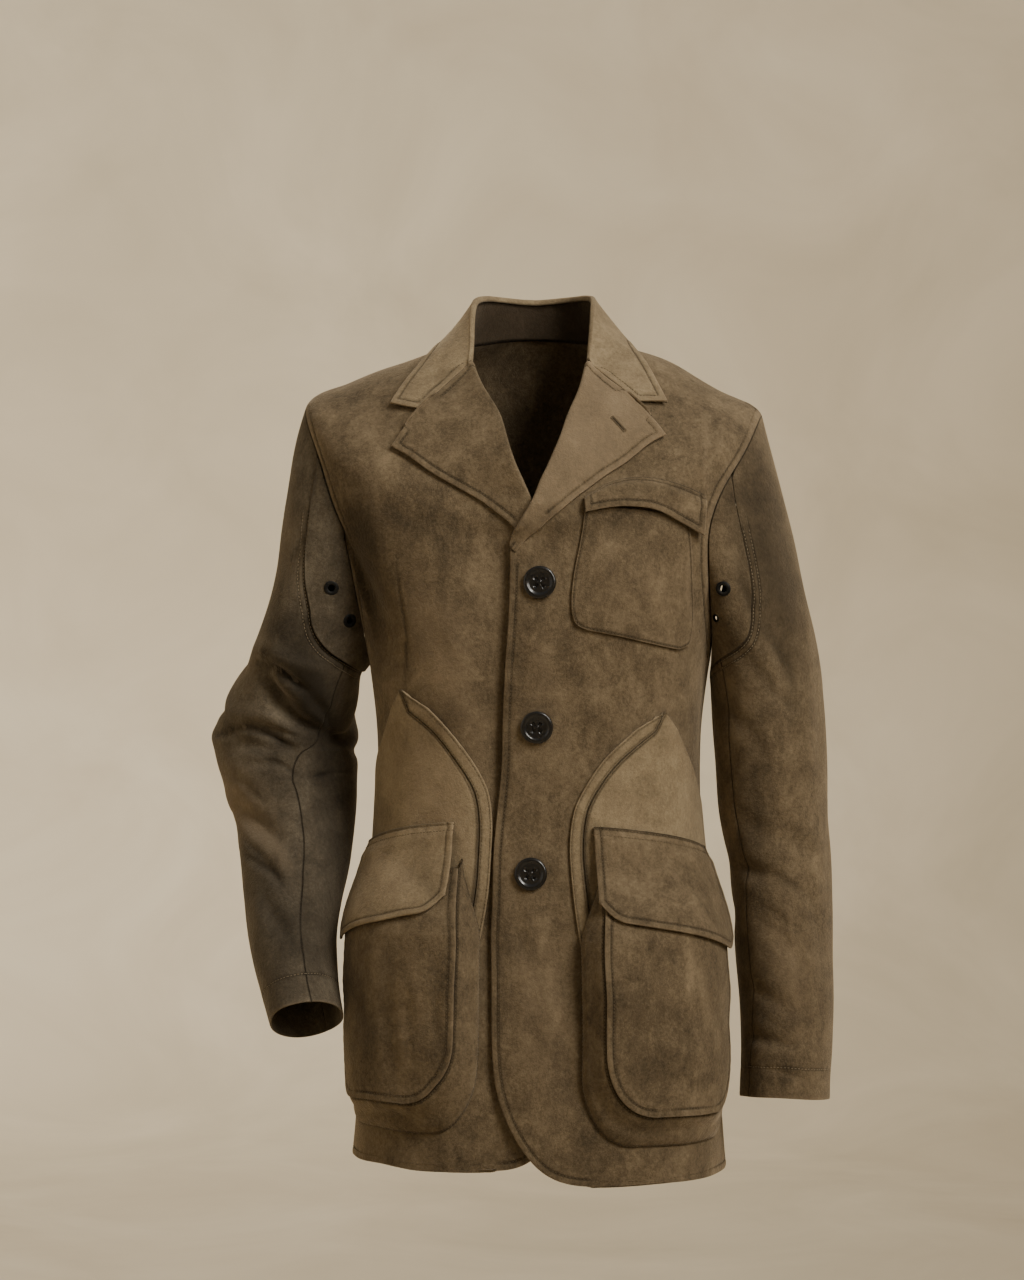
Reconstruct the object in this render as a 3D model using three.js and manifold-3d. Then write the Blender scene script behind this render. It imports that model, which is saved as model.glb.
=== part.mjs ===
// A suede field jacket, filled out as it is worn, with one arm straight and one arm bent.
// Millimetres. +Z is up, the jacket faces -Y, and +X is the wearer's left.
// The origin is midway between the two neck points, where the shoulders carry the jacket.
import * as THREE from 'three';
import { mergeVertices } from 'three/addons/utils/BufferGeometryUtils.js';
import Module from 'manifold-3d';

const wasm = await Module();
wasm.setup();

// Driving dimensions
const CLOTH = 1.6; // one layer of suede
const DOUBLE = 2.4; // a faced edge: lapel, collar leaf, flap
const SEAM_GAP = 0.4; // between pieces that are sewn together
const HEM_Z = -779;
const UNDERARM_Z = -303;
const SKIRT_STEP = (UNDERARM_Z - HEM_Z) / 10; // height of one row below the underarm
const BREAK_ROW = 5; // row where the lapel's roll line leaves the front edge
const SHOULDER_ROW = 4; // row that passes through the shoulder point
const UNDERARM_ROW = 9;
const HEM_ROW = 19;
const ARMHOLE_FRONT = { left: 36, right: 29 }; // degrees of the section that the armhole takes from a front
const ARMHOLE_BACK = 24;
const ARMHOLE_SKEW = 0.35; // the armhole cuts deepest above its middle
const OVERLAP_INSET = 7.2; // how far the right front lies under the left one
const RIGHT_HEM_RISE = 12; // the right front hangs this much higher at the hem
const LEAN = -5.5; // the neck and shoulders lean towards the wearer's right
const SHOULDER_TILT = -0.024; // and the wearer's left shoulder hangs lower, by this share of x
const OPENING_SHIFT = 7; // the opening between the lapels sits back towards the left by this much
const RIGHT_ROLL_SHIFT = 5; // and the right lapel's roll bows in by this much more near its top
const LAPEL_DROP = { left: 0, right: 0.2 }; // how many rows lower a lapel's outer edge lies
const LAPEL_NARROWING = { left: 0, right: 3.4 }; // and how many degrees nearer to the centre
const CORNER_WIDTH = 94; // the rounded lower corner of each front
const CORNER_HEIGHT = 154;
const CORNER_POWER = 2.4;
const BUTTON_RADIUS = 15;
const BUTTON_HEIGHTS = [-232, -363, -496];
const BUTTON_X = [8, 6, 1];
const BUTTON_LIFT = [0.35, 0.6, 0.45]; // each is seated on the highest point of the cloth below it
const EYELET_RADIUS = 7;
const EYELET_HOLE = 3.2;

const SUEDE = 0x6f5c45;
const SUEDE_DARK = 0x5c4b38;
const HORN = 0x1b1a19;
const DEGREE = Math.PI / 180;

// Torso sections. Each row is a ring: its side point, its front point and its back point.
const TORSO = [
  { halfWidth: 68, sideY: 8, sideZ: -3, frontY: -64, frontZ: -62, backY: 66, backZ: 6 },
  { halfWidth: 100, sideY: 8, sideZ: -11, frontY: -84, frontZ: -95, backY: 80, backZ: -18 },
  { halfWidth: 135, sideY: 8, sideZ: -24, frontY: -98, frontZ: -125, backY: 90, backZ: -45 },
  { halfWidth: 175, sideY: 7, sideZ: -43, frontY: -107, frontZ: -150, backY: 98, backZ: -75 },
  { halfWidth: 215, sideY: 5, sideZ: -66, frontY: -113, frontZ: -172, backY: 103, backZ: -105 },
  { halfWidth: 211, sideY: 5, sideZ: -115, frontY: -116, frontZ: -196, backY: 105, backZ: -140 },
  { halfWidth: 199, sideY: 4, sideZ: -165, frontY: -118, frontZ: -222, backY: 105, backZ: -180 },
  { halfWidth: 185, sideY: 2, sideZ: -213, frontY: -119, frontZ: -250, backY: 104, backZ: -223 },
  { halfWidth: 171, sideY: 1, sideZ: -258, frontY: -119, frontZ: -276, backY: 101, backZ: -263 },
  { halfWidth: 161, sideY: 0, sideZ: -303, frontY: -118, frontZ: -303, backY: 98, backZ: -303 },
];
const SKIRT = [
  { halfWidth: 155, front: 114, back: 92 },
  { halfWidth: 152, front: 109, back: 86 },
  { halfWidth: 153, front: 109, back: 86 },
  { halfWidth: 157, front: 112, back: 92 },
  { halfWidth: 161, front: 116, back: 100 },
  { halfWidth: 164, front: 120, back: 106 },
  { halfWidth: 167, front: 124, back: 110 },
  { halfWidth: 170, front: 127, back: 113 },
  { halfWidth: 173, front: 129, back: 115 },
  { halfWidth: 176, front: 131, back: 116 },
];
SKIRT.forEach(({ halfWidth, front, back }, i) => {
  const z = UNDERARM_Z - SKIRT_STEP * (i + 1);
  TORSO.push({ halfWidth, sideY: 0, sideZ: z, frontY: -front, frontZ: z, backY: back, backZ: z });
});
const SECTION_SQUARENESS = 0.05;

// Soft folds of the torso. Angles are degrees round the section, rows are torso rows,
// width is in millimetres, and a negative depth is a trough.
const TORSO_FOLDS = [
  { angle: 7, row: 13.4, toAngle: 10, toRow: 15.2, width: 14, depth: -3 },
  { angle: -62, row: 6.2, toAngle: -50, toRow: 8.8, width: 18, depth: -6 },
  { angle: 150, row: 9.5, toAngle: 158, toRow: 13, width: 18, depth: -4.5 },
  { angle: 212, row: 9.8, toAngle: 200, toRow: 12.6, width: 18, depth: -4 },
  { angle: 128, row: 14, toAngle: 126, toRow: 19, width: 17, depth: -6 },
  { angle: 176, row: 13.5, toAngle: 178, toRow: 19, width: 20, depth: -5 },
  { angle: 228, row: 14.5, toAngle: 232, toRow: 19, width: 17, depth: -6 },
];
const TORSO_DEGREE_MM = 2.4;

// Front edge of the left front below the break point: how far past the centre it reaches.
const FRONT_EDGE = [
  { z: -196, x: -16 }, { z: -260, x: -20 }, { z: -340, x: -25 }, { z: -410, x: -28 },
  { z: -470, x: -33 }, { z: -550, x: -36 }, { z: -625, x: -36 }, { z: -800, x: -36 },
];

// Roll line of the lapel, one row for each half step of the torso rows from the gorge down to the
// break point. Angle is the section angle of the panel's edge that reaches it.
const LAPEL_ROLL = [
  { angle: 47, x: 54, y: -51, z: -26 },
  { angle: 32, x: 47, y: -70, z: -50 },
  { angle: 20.5, x: 35, y: -86, z: -76 },
  { angle: 14, x: 27, y: -100, z: -100 },
  { angle: 8, x: 18, y: -109, z: -121 },
  { angle: 4, x: 10, y: -114, z: -137 },
  { angle: 1.3, x: 3, y: -117, z: -154 },
  { angle: 0, x: -1, y: -119, z: -163 },
  { angle: -1.5, x: -6, y: -119.5, z: -173 },
  { angle: -3, x: -11, y: -120, z: -184 },
  { angle: -4.35, x: -16, y: -120, z: -196 },
];

// Roll line of the collar from the gorge round to the centre back, and the section angle of the
// neckline below each point.
const COLLAR_ROLL = [
  { angle: 47, x: 54, y: -51, z: -26 },
  { angle: 56, x: 56.5, y: -38, z: -8 },
  { angle: 67, x: 58, y: -22, z: 12 },
  { angle: 79, x: 58.5, y: -5, z: 29 },
  { angle: 93, x: 57.5, y: 14, z: 39 },
  { angle: 112, x: 50, y: 35, z: 43 },
  { angle: 134, x: 37, y: 51, z: 43.5 },
  { angle: 157, x: 19, y: 60, z: 43 },
  { angle: 180, x: 0, y: 63, z: 42.5 },
];
// Outer edge of the collar leaf on the torso, in the same order.
const LEAF_EDGE = [
  { angle: 54.4, row: 2.38 }, { angle: 64, row: 1.62 }, { angle: 74, row: 1.05 },
  { angle: 85, row: 0.82 }, { angle: 97, row: 0.84 }, { angle: 115, row: 0.9 },
  { angle: 136, row: 0.93 }, { angle: 158, row: 0.9 }, { angle: 180, row: 0.9 },
];
// Gorge seam from the roll line to the notch, then the collar's front edge and the lapel's top edge.
const NOTCH = { angle: 48.6, row: 1.8 };
const GORGE_BOW = { angle: 50, row: 0.82 };

// The lapel from the break point to its tip.
const LAPEL = [
  { rollRow: 5.25, angle: -3.4, row: 5.4 },
  { rollRow: 4.5, angle: 1.4, row: 4.6 },
  { rollRow: 3.75, angle: 7.2, row: 3.85 },
  { rollRow: 3.0, angle: 13.5, row: 3.33 },
  { rollRow: 2.2, angle: 22, row: 3.03 },
  { rollRow: 1.4, angle: 31, row: 2.94 },
  { rollRow: 0.7, angle: 38.6, row: 2.88 },
  { rollRow: 0.0, angle: 44.6, row: 2.93 },
];

// Arm rings from the biceps to the cuff edge: centre, half width across, half depth.
const ARMS = {
  left: {
    side: 1,
    capPuff: 3,
    gussetScale: 1.28,
    seamFront: [135, 135, 134, 134, 136, 138, 140, 142, 143],
    rings: [
      { x: 214.5, y: 10, z: -335, halfWidth: 52.5, halfDepth: 60 },
      { x: 218.5, y: 12, z: -385, halfWidth: 53, halfDepth: 58 },
      { x: 221, y: 12, z: -440, halfWidth: 51.5, halfDepth: 56 },
      { x: 227, y: 9, z: -492, halfWidth: 48.5, halfDepth: 55 },
      { x: 230, y: 3, z: -545, halfWidth: 46.5, halfDepth: 54 },
      { x: 233, y: -5, z: -600, halfWidth: 44.5, halfDepth: 52 },
      { x: 233, y: -12, z: -655, halfWidth: 42.5, halfDepth: 49 },
      { x: 231.5, y: -16, z: -690, halfWidth: 41.5, halfDepth: 47 },
      { x: 231, y: -18, z: -711, halfWidth: 41.5, halfDepth: 46 },
    ],
    folds: [
      { angle: 120, along: 5.2, toAngle: 60, toAlong: 5.9, width: 11, depth: -4 },
      { angle: 150, along: 6.0, toAngle: 95, toAlong: 6.35, width: 9, depth: -4.5 },
      { angle: 150, along: 8.1, toAngle: 90, toAlong: 8.5, width: 8, depth: -3.5 },
      { angle: 145, along: 9.0, toAngle: 85, toAlong: 9.2, width: 8, depth: -4 },
      { angle: 60, along: 1.2, toAngle: 72, toAlong: 4.0, width: 13, depth: -4 },
      { angle: 250, along: 5.6, toAngle: 190, toAlong: 5.9, width: 12, depth: -5 },
      { angle: 240, along: 6.6, toAngle: 180, toAlong: 6.9, width: 11, depth: -4 },
      { angle: 300, along: 1.4, toAngle: 290, toAlong: 4.2, width: 15, depth: -5 },
    ],
  },
  right: {
    side: -1,
    capPuff: 7,
    gussetScale: 1.1,
    seamFront: [135, 126, 108, 98, 104, 110, 114, 116, 117],
    rings: [
      { x: 228, y: 22, z: -322, halfWidth: 55, halfDepth: 60 },
      { x: 242, y: 36, z: -362, halfWidth: 67, halfDepth: 60 },
      { x: 246, y: 38, z: -396, halfWidth: 70, halfDepth: 60 },
      { x: 236, y: 24, z: -440, halfWidth: 60, halfDepth: 55 },
      { x: 231.5, y: 2, z: -482, halfWidth: 53.5, halfDepth: 51 },
      { x: 231, y: -21, z: -522, halfWidth: 46.5, halfDepth: 48 },
      { x: 228.5, y: -44, z: -561, halfWidth: 41.5, halfDepth: 47 },
      { x: 219, y: -67, z: -601, halfWidth: 36, halfDepth: 47 },
      { x: 209.5, y: -83, z: -635, halfWidth: 34, halfDepth: 49 },
    ],
    folds: [
      { angle: 20, along: 1.2, toAngle: -20, toAlong: 2.2, width: 30, depth: -12 },
      { angle: 52, along: 2.75, toAngle: 118, toAlong: 3.55, width: 11, depth: -15 },
      { angle: 118, along: 3.55, toAngle: 165, toAlong: 4.5, width: 16, depth: -9 },
      { angle: 34, along: 4.66, toAngle: 82, toAlong: 4.8, width: 11, depth: -12 },
      { angle: 70, along: 3.85, toAngle: 100, toAlong: 4.0, width: 8, depth: -4 },
      { angle: 30, along: 6.2, toAngle: 72, toAlong: 7.35, width: 13, depth: -11 },
      { angle: 100, along: 8.0, toAngle: 125, toAlong: 9.3, width: 11, depth: -4 },
      { angle: 200, along: 3.4, toAngle: 150, toAlong: 4.3, width: 13, depth: -9 },
      { angle: 215, along: 4.6, toAngle: 165, toAlong: 5.0, width: 11, depth: -8 },
      { angle: 300, along: 1.6, toAngle: 275, toAlong: 4.0, width: 17, depth: -6 },
      { angle: 250, along: 6.4, toAngle: 320, toAlong: 7.2, width: 12, depth: -5 },
    ],
  },
};
const CAP_LENGTH = 3; // the sleeve cap runs from 0 at the armhole to this at the first arm ring
const CUFF_END = CAP_LENGTH + 8;
const SEAM_BACK = 255; // angle of the sleeve's back seam
const SLEEVE_DEGREE_MM = 0.92;
const SLEEVE_ALONG_MM = 50;
// How far the underarm gusset reaches down the sleeve, by angle round the armhole.
const GUSSET = [
  { angle: 45, along: 0 }, { angle: 60, along: 0.78 }, { angle: 75, along: 1.14 },
  { angle: 90, along: 1.34 }, { angle: 105, along: 1.4 }, { angle: 120, along: 1.38 },
  { angle: 150, along: 1.25 }, { angle: 180, along: 1.1 }, { angle: 210, along: 0.9 },
  { angle: 225, along: 0.6 }, { angle: 240, along: 0 },
];
const EYELETS = [
  { angle: 91, along: 0.7 },
  { angle: 118, along: 0.58 },
];

// Hip pockets: outlines are given by section angle and height.
const POCKET_BASE = {
  front: 16, back: 80, top: -488, bottom: -746, cornerAngle: 15, cornerHeight: 66, flare: 6.5,
};
const POCKET_FACE = {
  front: 22, back: 71, top: -497, bottom: -717, cornerAngle: 14, cornerHeight: 58, flare: 1.5,
};
const FLARE_HEIGHT = 77; // the pocket's front edge runs outwards over this much of its height
const POCKET_DEPTH = 28;
const HIP_FLAP = { front: 21, back: 76, topFront: -454, topBack: -476, dropFront: 84, dropBack: 101 };
// Curved side panel with the hand pocket in its front edge. Apex height differs from side to side.
const SIDE_PANEL = [
  { down: 0, front: 46.5, back: 47.5 },
  { down: 0.07, front: 36, back: 54 },
  { down: 0.17, front: 26.5, back: 62 },
  { down: 0.275, front: 19.6, back: 74 },
  { down: 0.38, front: 14.9, back: 86 },
  { down: 0.5, front: 13.2, back: 88 },
  { down: 0.64, front: 13.2, back: 88 },
  { down: 0.8, front: 14.4, back: 88 },
  { down: 1, front: 17, back: 88 },
];
const SIDE_PANEL_BOTTOM = -578;
const SIDE_PANEL_APEX = { left: -350, right: -331 };
const WELT_WIDTH = 4.4; // degrees of the section
const PATCH_GAP = 1.35; // under a patch, which has finer facets than the panel below it
const SIDE_PANEL_LIFT = PATCH_GAP + CLOTH;

// Chest pocket and its flap, seen from the front.
const CHEST_POCKET = [
  { down: 0, left: 51, right: 143, z: -158, zRight: -170 },
  { down: 0.3, left: 46, right: 146, z: -194, zRight: -208 },
  { down: 0.62, left: 40, right: 147, z: -226, zRight: -244 },
  { down: 0.84, left: 37.5, right: 146, z: -251, zRight: -270 },
  { down: 0.95, left: 41, right: 142.5, z: -268, zRight: -286 },
  { down: 1, left: 53, right: 133, z: -275, zRight: -291 },
];
const CHEST_FLAP = [
  { along: 0, x: 48.5, topZ: -153, lowX: 50.5, lowZ: -167 },
  { along: 0.2, x: 70, topZ: -141, lowX: 70, lowZ: -163.5 },
  { along: 0.42, x: 93, topZ: -135, lowX: 92, lowZ: -162.5 },
  { along: 0.62, x: 117, topZ: -136, lowX: 112, lowZ: -165 },
  { along: 0.82, x: 140, topZ: -142, lowX: 134, lowZ: -176 },
  { along: 1, x: 159, topZ: -151, lowX: 154, lowZ: -188 },
];

// Small helpers
const vec = (x, y, z) => new THREE.Vector3(x, y, z);
const mix = (a, b, k) => a + (b - a) * k;
const clamp01 = (x) => Math.min(1, Math.max(0, x));
const smooth = (from, to, x) => {
  const k = clamp01((x - from) / (to - from));
  return k * k * (3 - 2 * k);
};

// A column of a table, as a smooth curve through its rows, at a row number that need not be whole.
function along(rows, key, at) {
  const last = rows.length - 1;
  const i = Math.min(last - 1, Math.max(0, Math.floor(at)));
  const k = at - i;
  const p1 = rows[i][key];
  const p2 = rows[i + 1][key];
  const p0 = i > 0 ? rows[i - 1][key] : 2 * p1 - p2;
  const p3 = i + 2 <= last ? rows[i + 2][key] : 2 * p2 - p1;
  const m1 = (p2 - p0) / 2;
  const m2 = (p3 - p1) / 2;
  const k2 = k * k;
  const k3 = k2 * k;
  return p1 * (2 * k3 - 3 * k2 + 1) + m1 * (k3 - 2 * k2 + k) + p2 * (3 * k2 - 2 * k3) + m2 * (k3 - k2);
}

// A column of a table by straight lines, looked up by another column that rises or falls.
function lookUp(rows, by, key, at) {
  const rising = rows[rows.length - 1][by] > rows[0][by];
  let i = 0;
  while (i < rows.length - 2 && (rising ? rows[i + 1][by] < at : rows[i + 1][by] > at)) i += 1;
  const k = clamp01((at - rows[i][by]) / (rows[i + 1][by] - rows[i][by]));
  return mix(rows[i][key], rows[i + 1][key], k);
}

// The row number at which a rising or falling column has a given value.
function rowAt(rows, by, at) {
  const numbered = rows.map((row, number) => ({ ...row, number }));
  return lookUp(numbered, by, 'number', at);
}

// Depth of a set of folds at a point, on a flat map measured in millimetres.
function foldDepth(folds, point, map) {
  let depth = 0;
  for (const fold of folds) {
    const [ax, ay] = map(fold.from);
    const [bx, by] = map(fold.to);
    const [px, py] = map(point);
    const length2 = (bx - ax) ** 2 + (by - ay) ** 2;
    const k = clamp01(((px - ax) * (bx - ax) + (py - ay) * (by - ay)) / length2);
    const away2 = (px - mix(ax, bx, k)) ** 2 + (py - mix(ay, by, k)) ** 2;
    const taper = 0.35 + 0.65 * Math.sin(Math.PI * mix(0.08, 0.92, k));
    depth += fold.depth * taper * Math.exp(-away2 / (fold.width * fold.width));
  }
  return depth;
}
const torsoFolds = TORSO_FOLDS.map((f) => ({
  ...f, from: [f.angle, f.row], to: [f.toAngle, f.toRow],
}));
const torsoMap = ([angle, row]) => [angle * TORSO_DEGREE_MM, row * SKIRT_STEP];

// The slight lean of the neck and shoulders as the jacket hangs.
function leaning(p) {
  const share = smooth(-250, -110, p.z);
  p.z += SHOULDER_TILT * p.x * share * smooth(110, 200, Math.abs(p.x));
  p.x += LEAN * share;
  return p;
}

// Torso surface. Angle 0 is the centre front, 90 the wearer's left side and 180 the centre back.
function torsoForm(angle, row, side = Math.sin(angle * DEGREE) < 0 ? -1 : 1) {
  const s = Math.sin(angle * DEGREE);
  const c = Math.cos(angle * DEGREE);
  const swell = 1 + SECTION_SQUARENESS * (2 * s * c) ** 2;
  const at = (key) => along(TORSO, key, row);
  const endY = c > 0 ? at('frontY') : at('backY');
  const endZ = c > 0 ? at('frontZ') : at('backZ');
  const sideY = at('sideY');
  const sideZ = at('sideZ');
  const low = Math.max(0, row - UNDERARM_ROW) / (HEM_ROW - UNDERARM_ROW);
  const rightness = c > 0 ? (1 - side) / 2 : (1 - s) / 2;
  return vec(
    at('halfWidth') * s * swell,
    sideY + (endY - sideY) * Math.abs(c) * swell,
    sideZ + (endZ - sideZ) * c * c + RIGHT_HEM_RISE * low * rightness,
  );
}

// Outward normal of a surface given by two numbers, for a wall round the point inside.
function normalOf(surface, u, v, stepU, stepV, inside) {
  const du = surface(u + stepU, v).sub(surface(u - stepU, v));
  const dv = surface(u, v + stepV).sub(surface(u, v - stepV));
  const n = du.cross(dv).normalize();
  if (n.dot(surface(u, v).sub(inside)) < 0) n.negate();
  return n;
}
const TORSO_CORE = vec(0, 0, -150);
const torsoCore = (row) => vec(0, 0, Math.min(TORSO_CORE.z, along(TORSO, 'sideZ', row) - 60));

function torso(angle, row, side) {
  const form = (a, r) => torsoForm(a, r, side);
  const n = normalOf(form, angle, row, 0.6, 0.04, torsoCore(row));
  const turned = (angle + 360) % 360;
  const folded = foldDepth(torsoFolds, [turned > 300 ? angle : turned, row], torsoMap);
  return leaning(form(angle, row).addScaledVector(n, folded));
}

// Share of the armhole's width at a turn of its ring, 0 at the shoulder point and pi at the underarm.
function armholeBow(turn) {
  return Math.sin(turn) * (1 + ARMHOLE_SKEW * Math.cos(turn));
}
// Where the armhole crosses a row, in degrees either side of the section's side point.
function armholeCut(row, width) {
  if (row <= SHOULDER_ROW || row >= UNDERARM_ROW) return 0;
  const share = (row - SHOULDER_ROW) / (UNDERARM_ROW - SHOULDER_ROW);
  return width * armholeBow(Math.acos(1 - 2 * share));
}

// Angle of the front panel's edge: the roll line above the break point, the front edge below it.
function frontEdgeAngle(row) {
  if (row < BREAK_ROW) return along(LAPEL_ROLL, 'angle', row * 2);
  const z = along(TORSO, 'frontZ', row);
  const halfWidth = along(TORSO, 'halfWidth', row);
  const cornerTop = HEM_Z + CORNER_HEIGHT;
  let x = lookUp(FRONT_EDGE, 'z', 'x', z);
  if (z < cornerTop) {
    const k = clamp01((cornerTop - z) / CORNER_HEIGHT);
    x += CORNER_WIDTH * (1 - (1 - k ** CORNER_POWER) ** (1 / CORNER_POWER));
  }
  return Math.asin(x / halfWidth) / DEGREE;
}

// Surface of a front, by side (1 left, -1 right), section angle from the centre, and row.
function front(side, angle, row) {
  const p = torso(side * angle, row, side);
  if (row < BREAK_ROW) {
    const edge = frontEdgeAngle(row);
    const share = clamp01((angle - edge) / (90 - edge));
    const roll = (key) => along(LAPEL_ROLL, key, row * 2);
    const shift = OPENING_SHIFT * Math.sin((Math.PI * row) / BREAK_ROW);
    const bow = side < 0 ? RIGHT_ROLL_SHIFT * Math.exp(-((row - 1.2) ** 2)) : 0;
    const rollX = side * roll('x') + shift + bow;
    const pull = leaning(vec(rollX, roll('y'), roll('z'))).sub(torso(side * edge, row));
    p.addScaledVector(pull, (1 - share) ** 4 * (1 - smooth(BREAK_ROW - 0.8, BREAK_ROW, row)));
  }
  if (side < 0) {
    p.y += OVERLAP_INSET * smooth(26, 8, angle) * smooth(1.6, 3.2, row);
  }
  return p;
}
function frontNormal(side, angle, row) {
  return normalOf((a, r) => front(side, a, r), angle, row, 0.6, 0.04, torsoCore(row));
}
function onFront(side, angle, row, lift) {
  return front(side, angle, row).addScaledVector(frontNormal(side, angle, row), lift);
}

// Section angle and row of the front's point that is seen at x and z from the front.
function placeOnFront(side, x, z) {
  let angle = 30;
  let row = 7;
  for (let i = 0; i < 12; i += 1) {
    const p = front(side, angle, row);
    const pa = front(side, angle + 0.5, row).sub(p).multiplyScalar(2);
    const pr = front(side, angle, row + 0.05).sub(p).multiplyScalar(20);
    const ex = x - p.x;
    const ez = z - p.z;
    const det = pa.x * pr.z - pr.x * pa.z;
    angle += Math.max(-12, Math.min(12, (ex * pr.z - pr.x * ez) / det));
    row += Math.max(-1.5, Math.min(1.5, (pa.x * ez - ex * pa.z) / det));
  }
  return { angle, row };
}

// Builds the closed wall between an outer and an inner grid of points.
function wallBetween(outer, inner, closed) {
  const columns = outer.length;
  const rows = outer[0].length;
  const points = [];
  for (const grid of [outer, inner]) {
    for (const line of grid) {
      for (const p of line) points.push(p.x, p.y, p.z);
    }
  }
  const at = (layer, i, j) => (layer * columns + (i % columns)) * rows + j;
  const index = [];
  const quad = (a, b, c, d) => index.push(a, b, c, a, c, d);
  const lastColumn = closed ? columns : columns - 1;
  for (let i = 0; i < lastColumn; i += 1) {
    for (let j = 0; j < rows - 1; j += 1) {
      quad(at(0, i, j), at(0, i + 1, j), at(0, i + 1, j + 1), at(0, i, j + 1));
      quad(at(1, i, j), at(1, i, j + 1), at(1, i + 1, j + 1), at(1, i + 1, j));
    }
    quad(at(1, i, 0), at(1, i + 1, 0), at(0, i + 1, 0), at(0, i, 0));
    quad(at(0, i, rows - 1), at(0, i + 1, rows - 1), at(1, i + 1, rows - 1), at(1, i, rows - 1));
  }
  if (!closed) {
    for (let j = 0; j < rows - 1; j += 1) {
      const end = columns - 1;
      quad(at(0, 0, j), at(0, 0, j + 1), at(1, 0, j + 1), at(1, 0, j));
      quad(at(1, end, j), at(1, end, j + 1), at(0, end, j + 1), at(0, end, j));
    }
  }
  const geometry = new THREE.BufferGeometry();
  geometry.setAttribute('position', new THREE.Float32BufferAttribute(points, 3));
  geometry.setIndex(index);
  return facingOut(geometry);
}

// Turns every face round if the solid's volume comes out negative.
function facingOut(geometry) {
  const p = geometry.attributes.position;
  const index = geometry.index.array;
  const corner = (i) => vec().fromBufferAttribute(p, index[i]);
  let volume = 0;
  for (let i = 0; i < index.length; i += 3) volume += corner(i).dot(corner(i + 1).cross(corner(i + 2)));
  if (volume < 0) {
    for (let i = 0; i < index.length; i += 3) [index[i], index[i + 1]] = [index[i + 1], index[i]];
  }
  geometry.computeVertexNormals();
  return geometry;
}

// A cloth wall over surface(u, v), u and v from 0 to 1. The inner face lies behind the outer one,
// away from its normal. normalAt may give its own normal where the wall meets another at an angle.
function clothWall(surface, inside, us, vs, thickness, options = {}) {
  const { closed = false, normalAt = () => null } = options;
  const step = 0.004;
  const held = (u, v) => surface(closed ? u : clamp01(u), clamp01(v));
  const outer = [];
  const inner = [];
  for (const u of us) {
    const outerLine = [];
    const innerLine = [];
    for (const v of vs) {
      const p = surface(u, v);
      const n = normalAt(u, v) ?? normalOf(held, u, v, step, step, inside(u, v));
      outerLine.push(p);
      innerLine.push(p.clone().addScaledVector(n, -thickness));
    }
    outer.push(outerLine);
    inner.push(innerLine);
  }
  return wallBetween(outer, inner, closed);
}
const spread = (count) => Array.from({ length: count + 1 }, (_, i) => i / count);

const jacket = new THREE.Group();
function add(name, geometry, color = SUEDE, roughness = 0.95) {
  const mesh = new THREE.Mesh(geometry, new THREE.MeshStandardMaterial({ color, roughness, metalness: 0 }));
  mesh.name = name;
  jacket.add(mesh);
  return mesh;
}

// Fronts and back
const ARMHOLE_STEPS = 12;
const ARMHOLE_STEP = 180 / ARMHOLE_STEPS;
const armholeRows = spread(ARMHOLE_STEPS).map(
  (k) => SHOULDER_ROW + (UNDERARM_ROW - SHOULDER_ROW) * (1 - Math.cos(Math.PI * k)) / 2,
);
const cornerRows = spread(6).map(
  (k) => HEM_ROW - (CORNER_HEIGHT / SKIRT_STEP) * (1 - Math.sin(k * Math.PI / 2)),
);
const shoulderRows = [0, 0.5, 1, 1.6, 2.3, 3.1];
const waistRows = [10, 11, 12, 13, 14, 15];
const frontRows = [...shoulderRows, ...armholeRows, ...waistRows, ...cornerRows];
const backRows = [...shoulderRows, ...armholeRows, ...waistRows, 16.2, 17.6, HEM_ROW];
const SEAM_DEGREES = 0.12;

// Columns keep their angle in the inner part of a panel, and only the outer part gives way to the
// armhole. u runs from 0 at the inner edge to 1 at the side.
function panelAngle(edge, cut, u) {
  const hold = 0.45;
  const whole = mix(edge, 90, u);
  const k = clamp01((u - hold) / (1 - hold));
  return whole - (cut + SEAM_DEGREES) * k;
}
function makeFront(label, side) {
  const outer = [];
  const inner = [];
  for (const u of spread(11).map((k) => k ** 1.15)) {
    const outerLine = [];
    const innerLine = [];
    for (const row of frontRows) {
      const angle = panelAngle(frontEdgeAngle(row), armholeCut(row, ARMHOLE_FRONT[label]), u);
      const p = front(side, angle, row);
      outerLine.push(p);
      innerLine.push(p.clone().addScaledVector(frontNormal(side, angle, row), -CLOTH));
    }
    outer.push(outerLine);
    inner.push(innerLine);
  }
  add(`front_${label}`, wallBetween(outer, inner, false));
}

const back = (angle, row) => torso(angle, row);

function makeBack() {
  const outer = [];
  const inner = [];
  for (const u of spread(18)) {
    const outerLine = [];
    const innerLine = [];
    for (const row of backRows) {
      const cut = armholeCut(row, ARMHOLE_BACK);
      const half = Math.abs(2 * u - 1);
      const angle = 180 + Math.sign(2 * u - 1) * panelAngle(0, cut, half);
      const p = back(angle, row);
      const n = normalOf(back, angle, row, 0.6, 0.04, torsoCore(row));
      outerLine.push(p);
      innerLine.push(p.clone().addScaledVector(n, -CLOTH));
    }
    outer.push(outerLine);
    inner.push(innerLine);
  }
  add('back', wallBetween(outer, inner, false));
}

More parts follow.
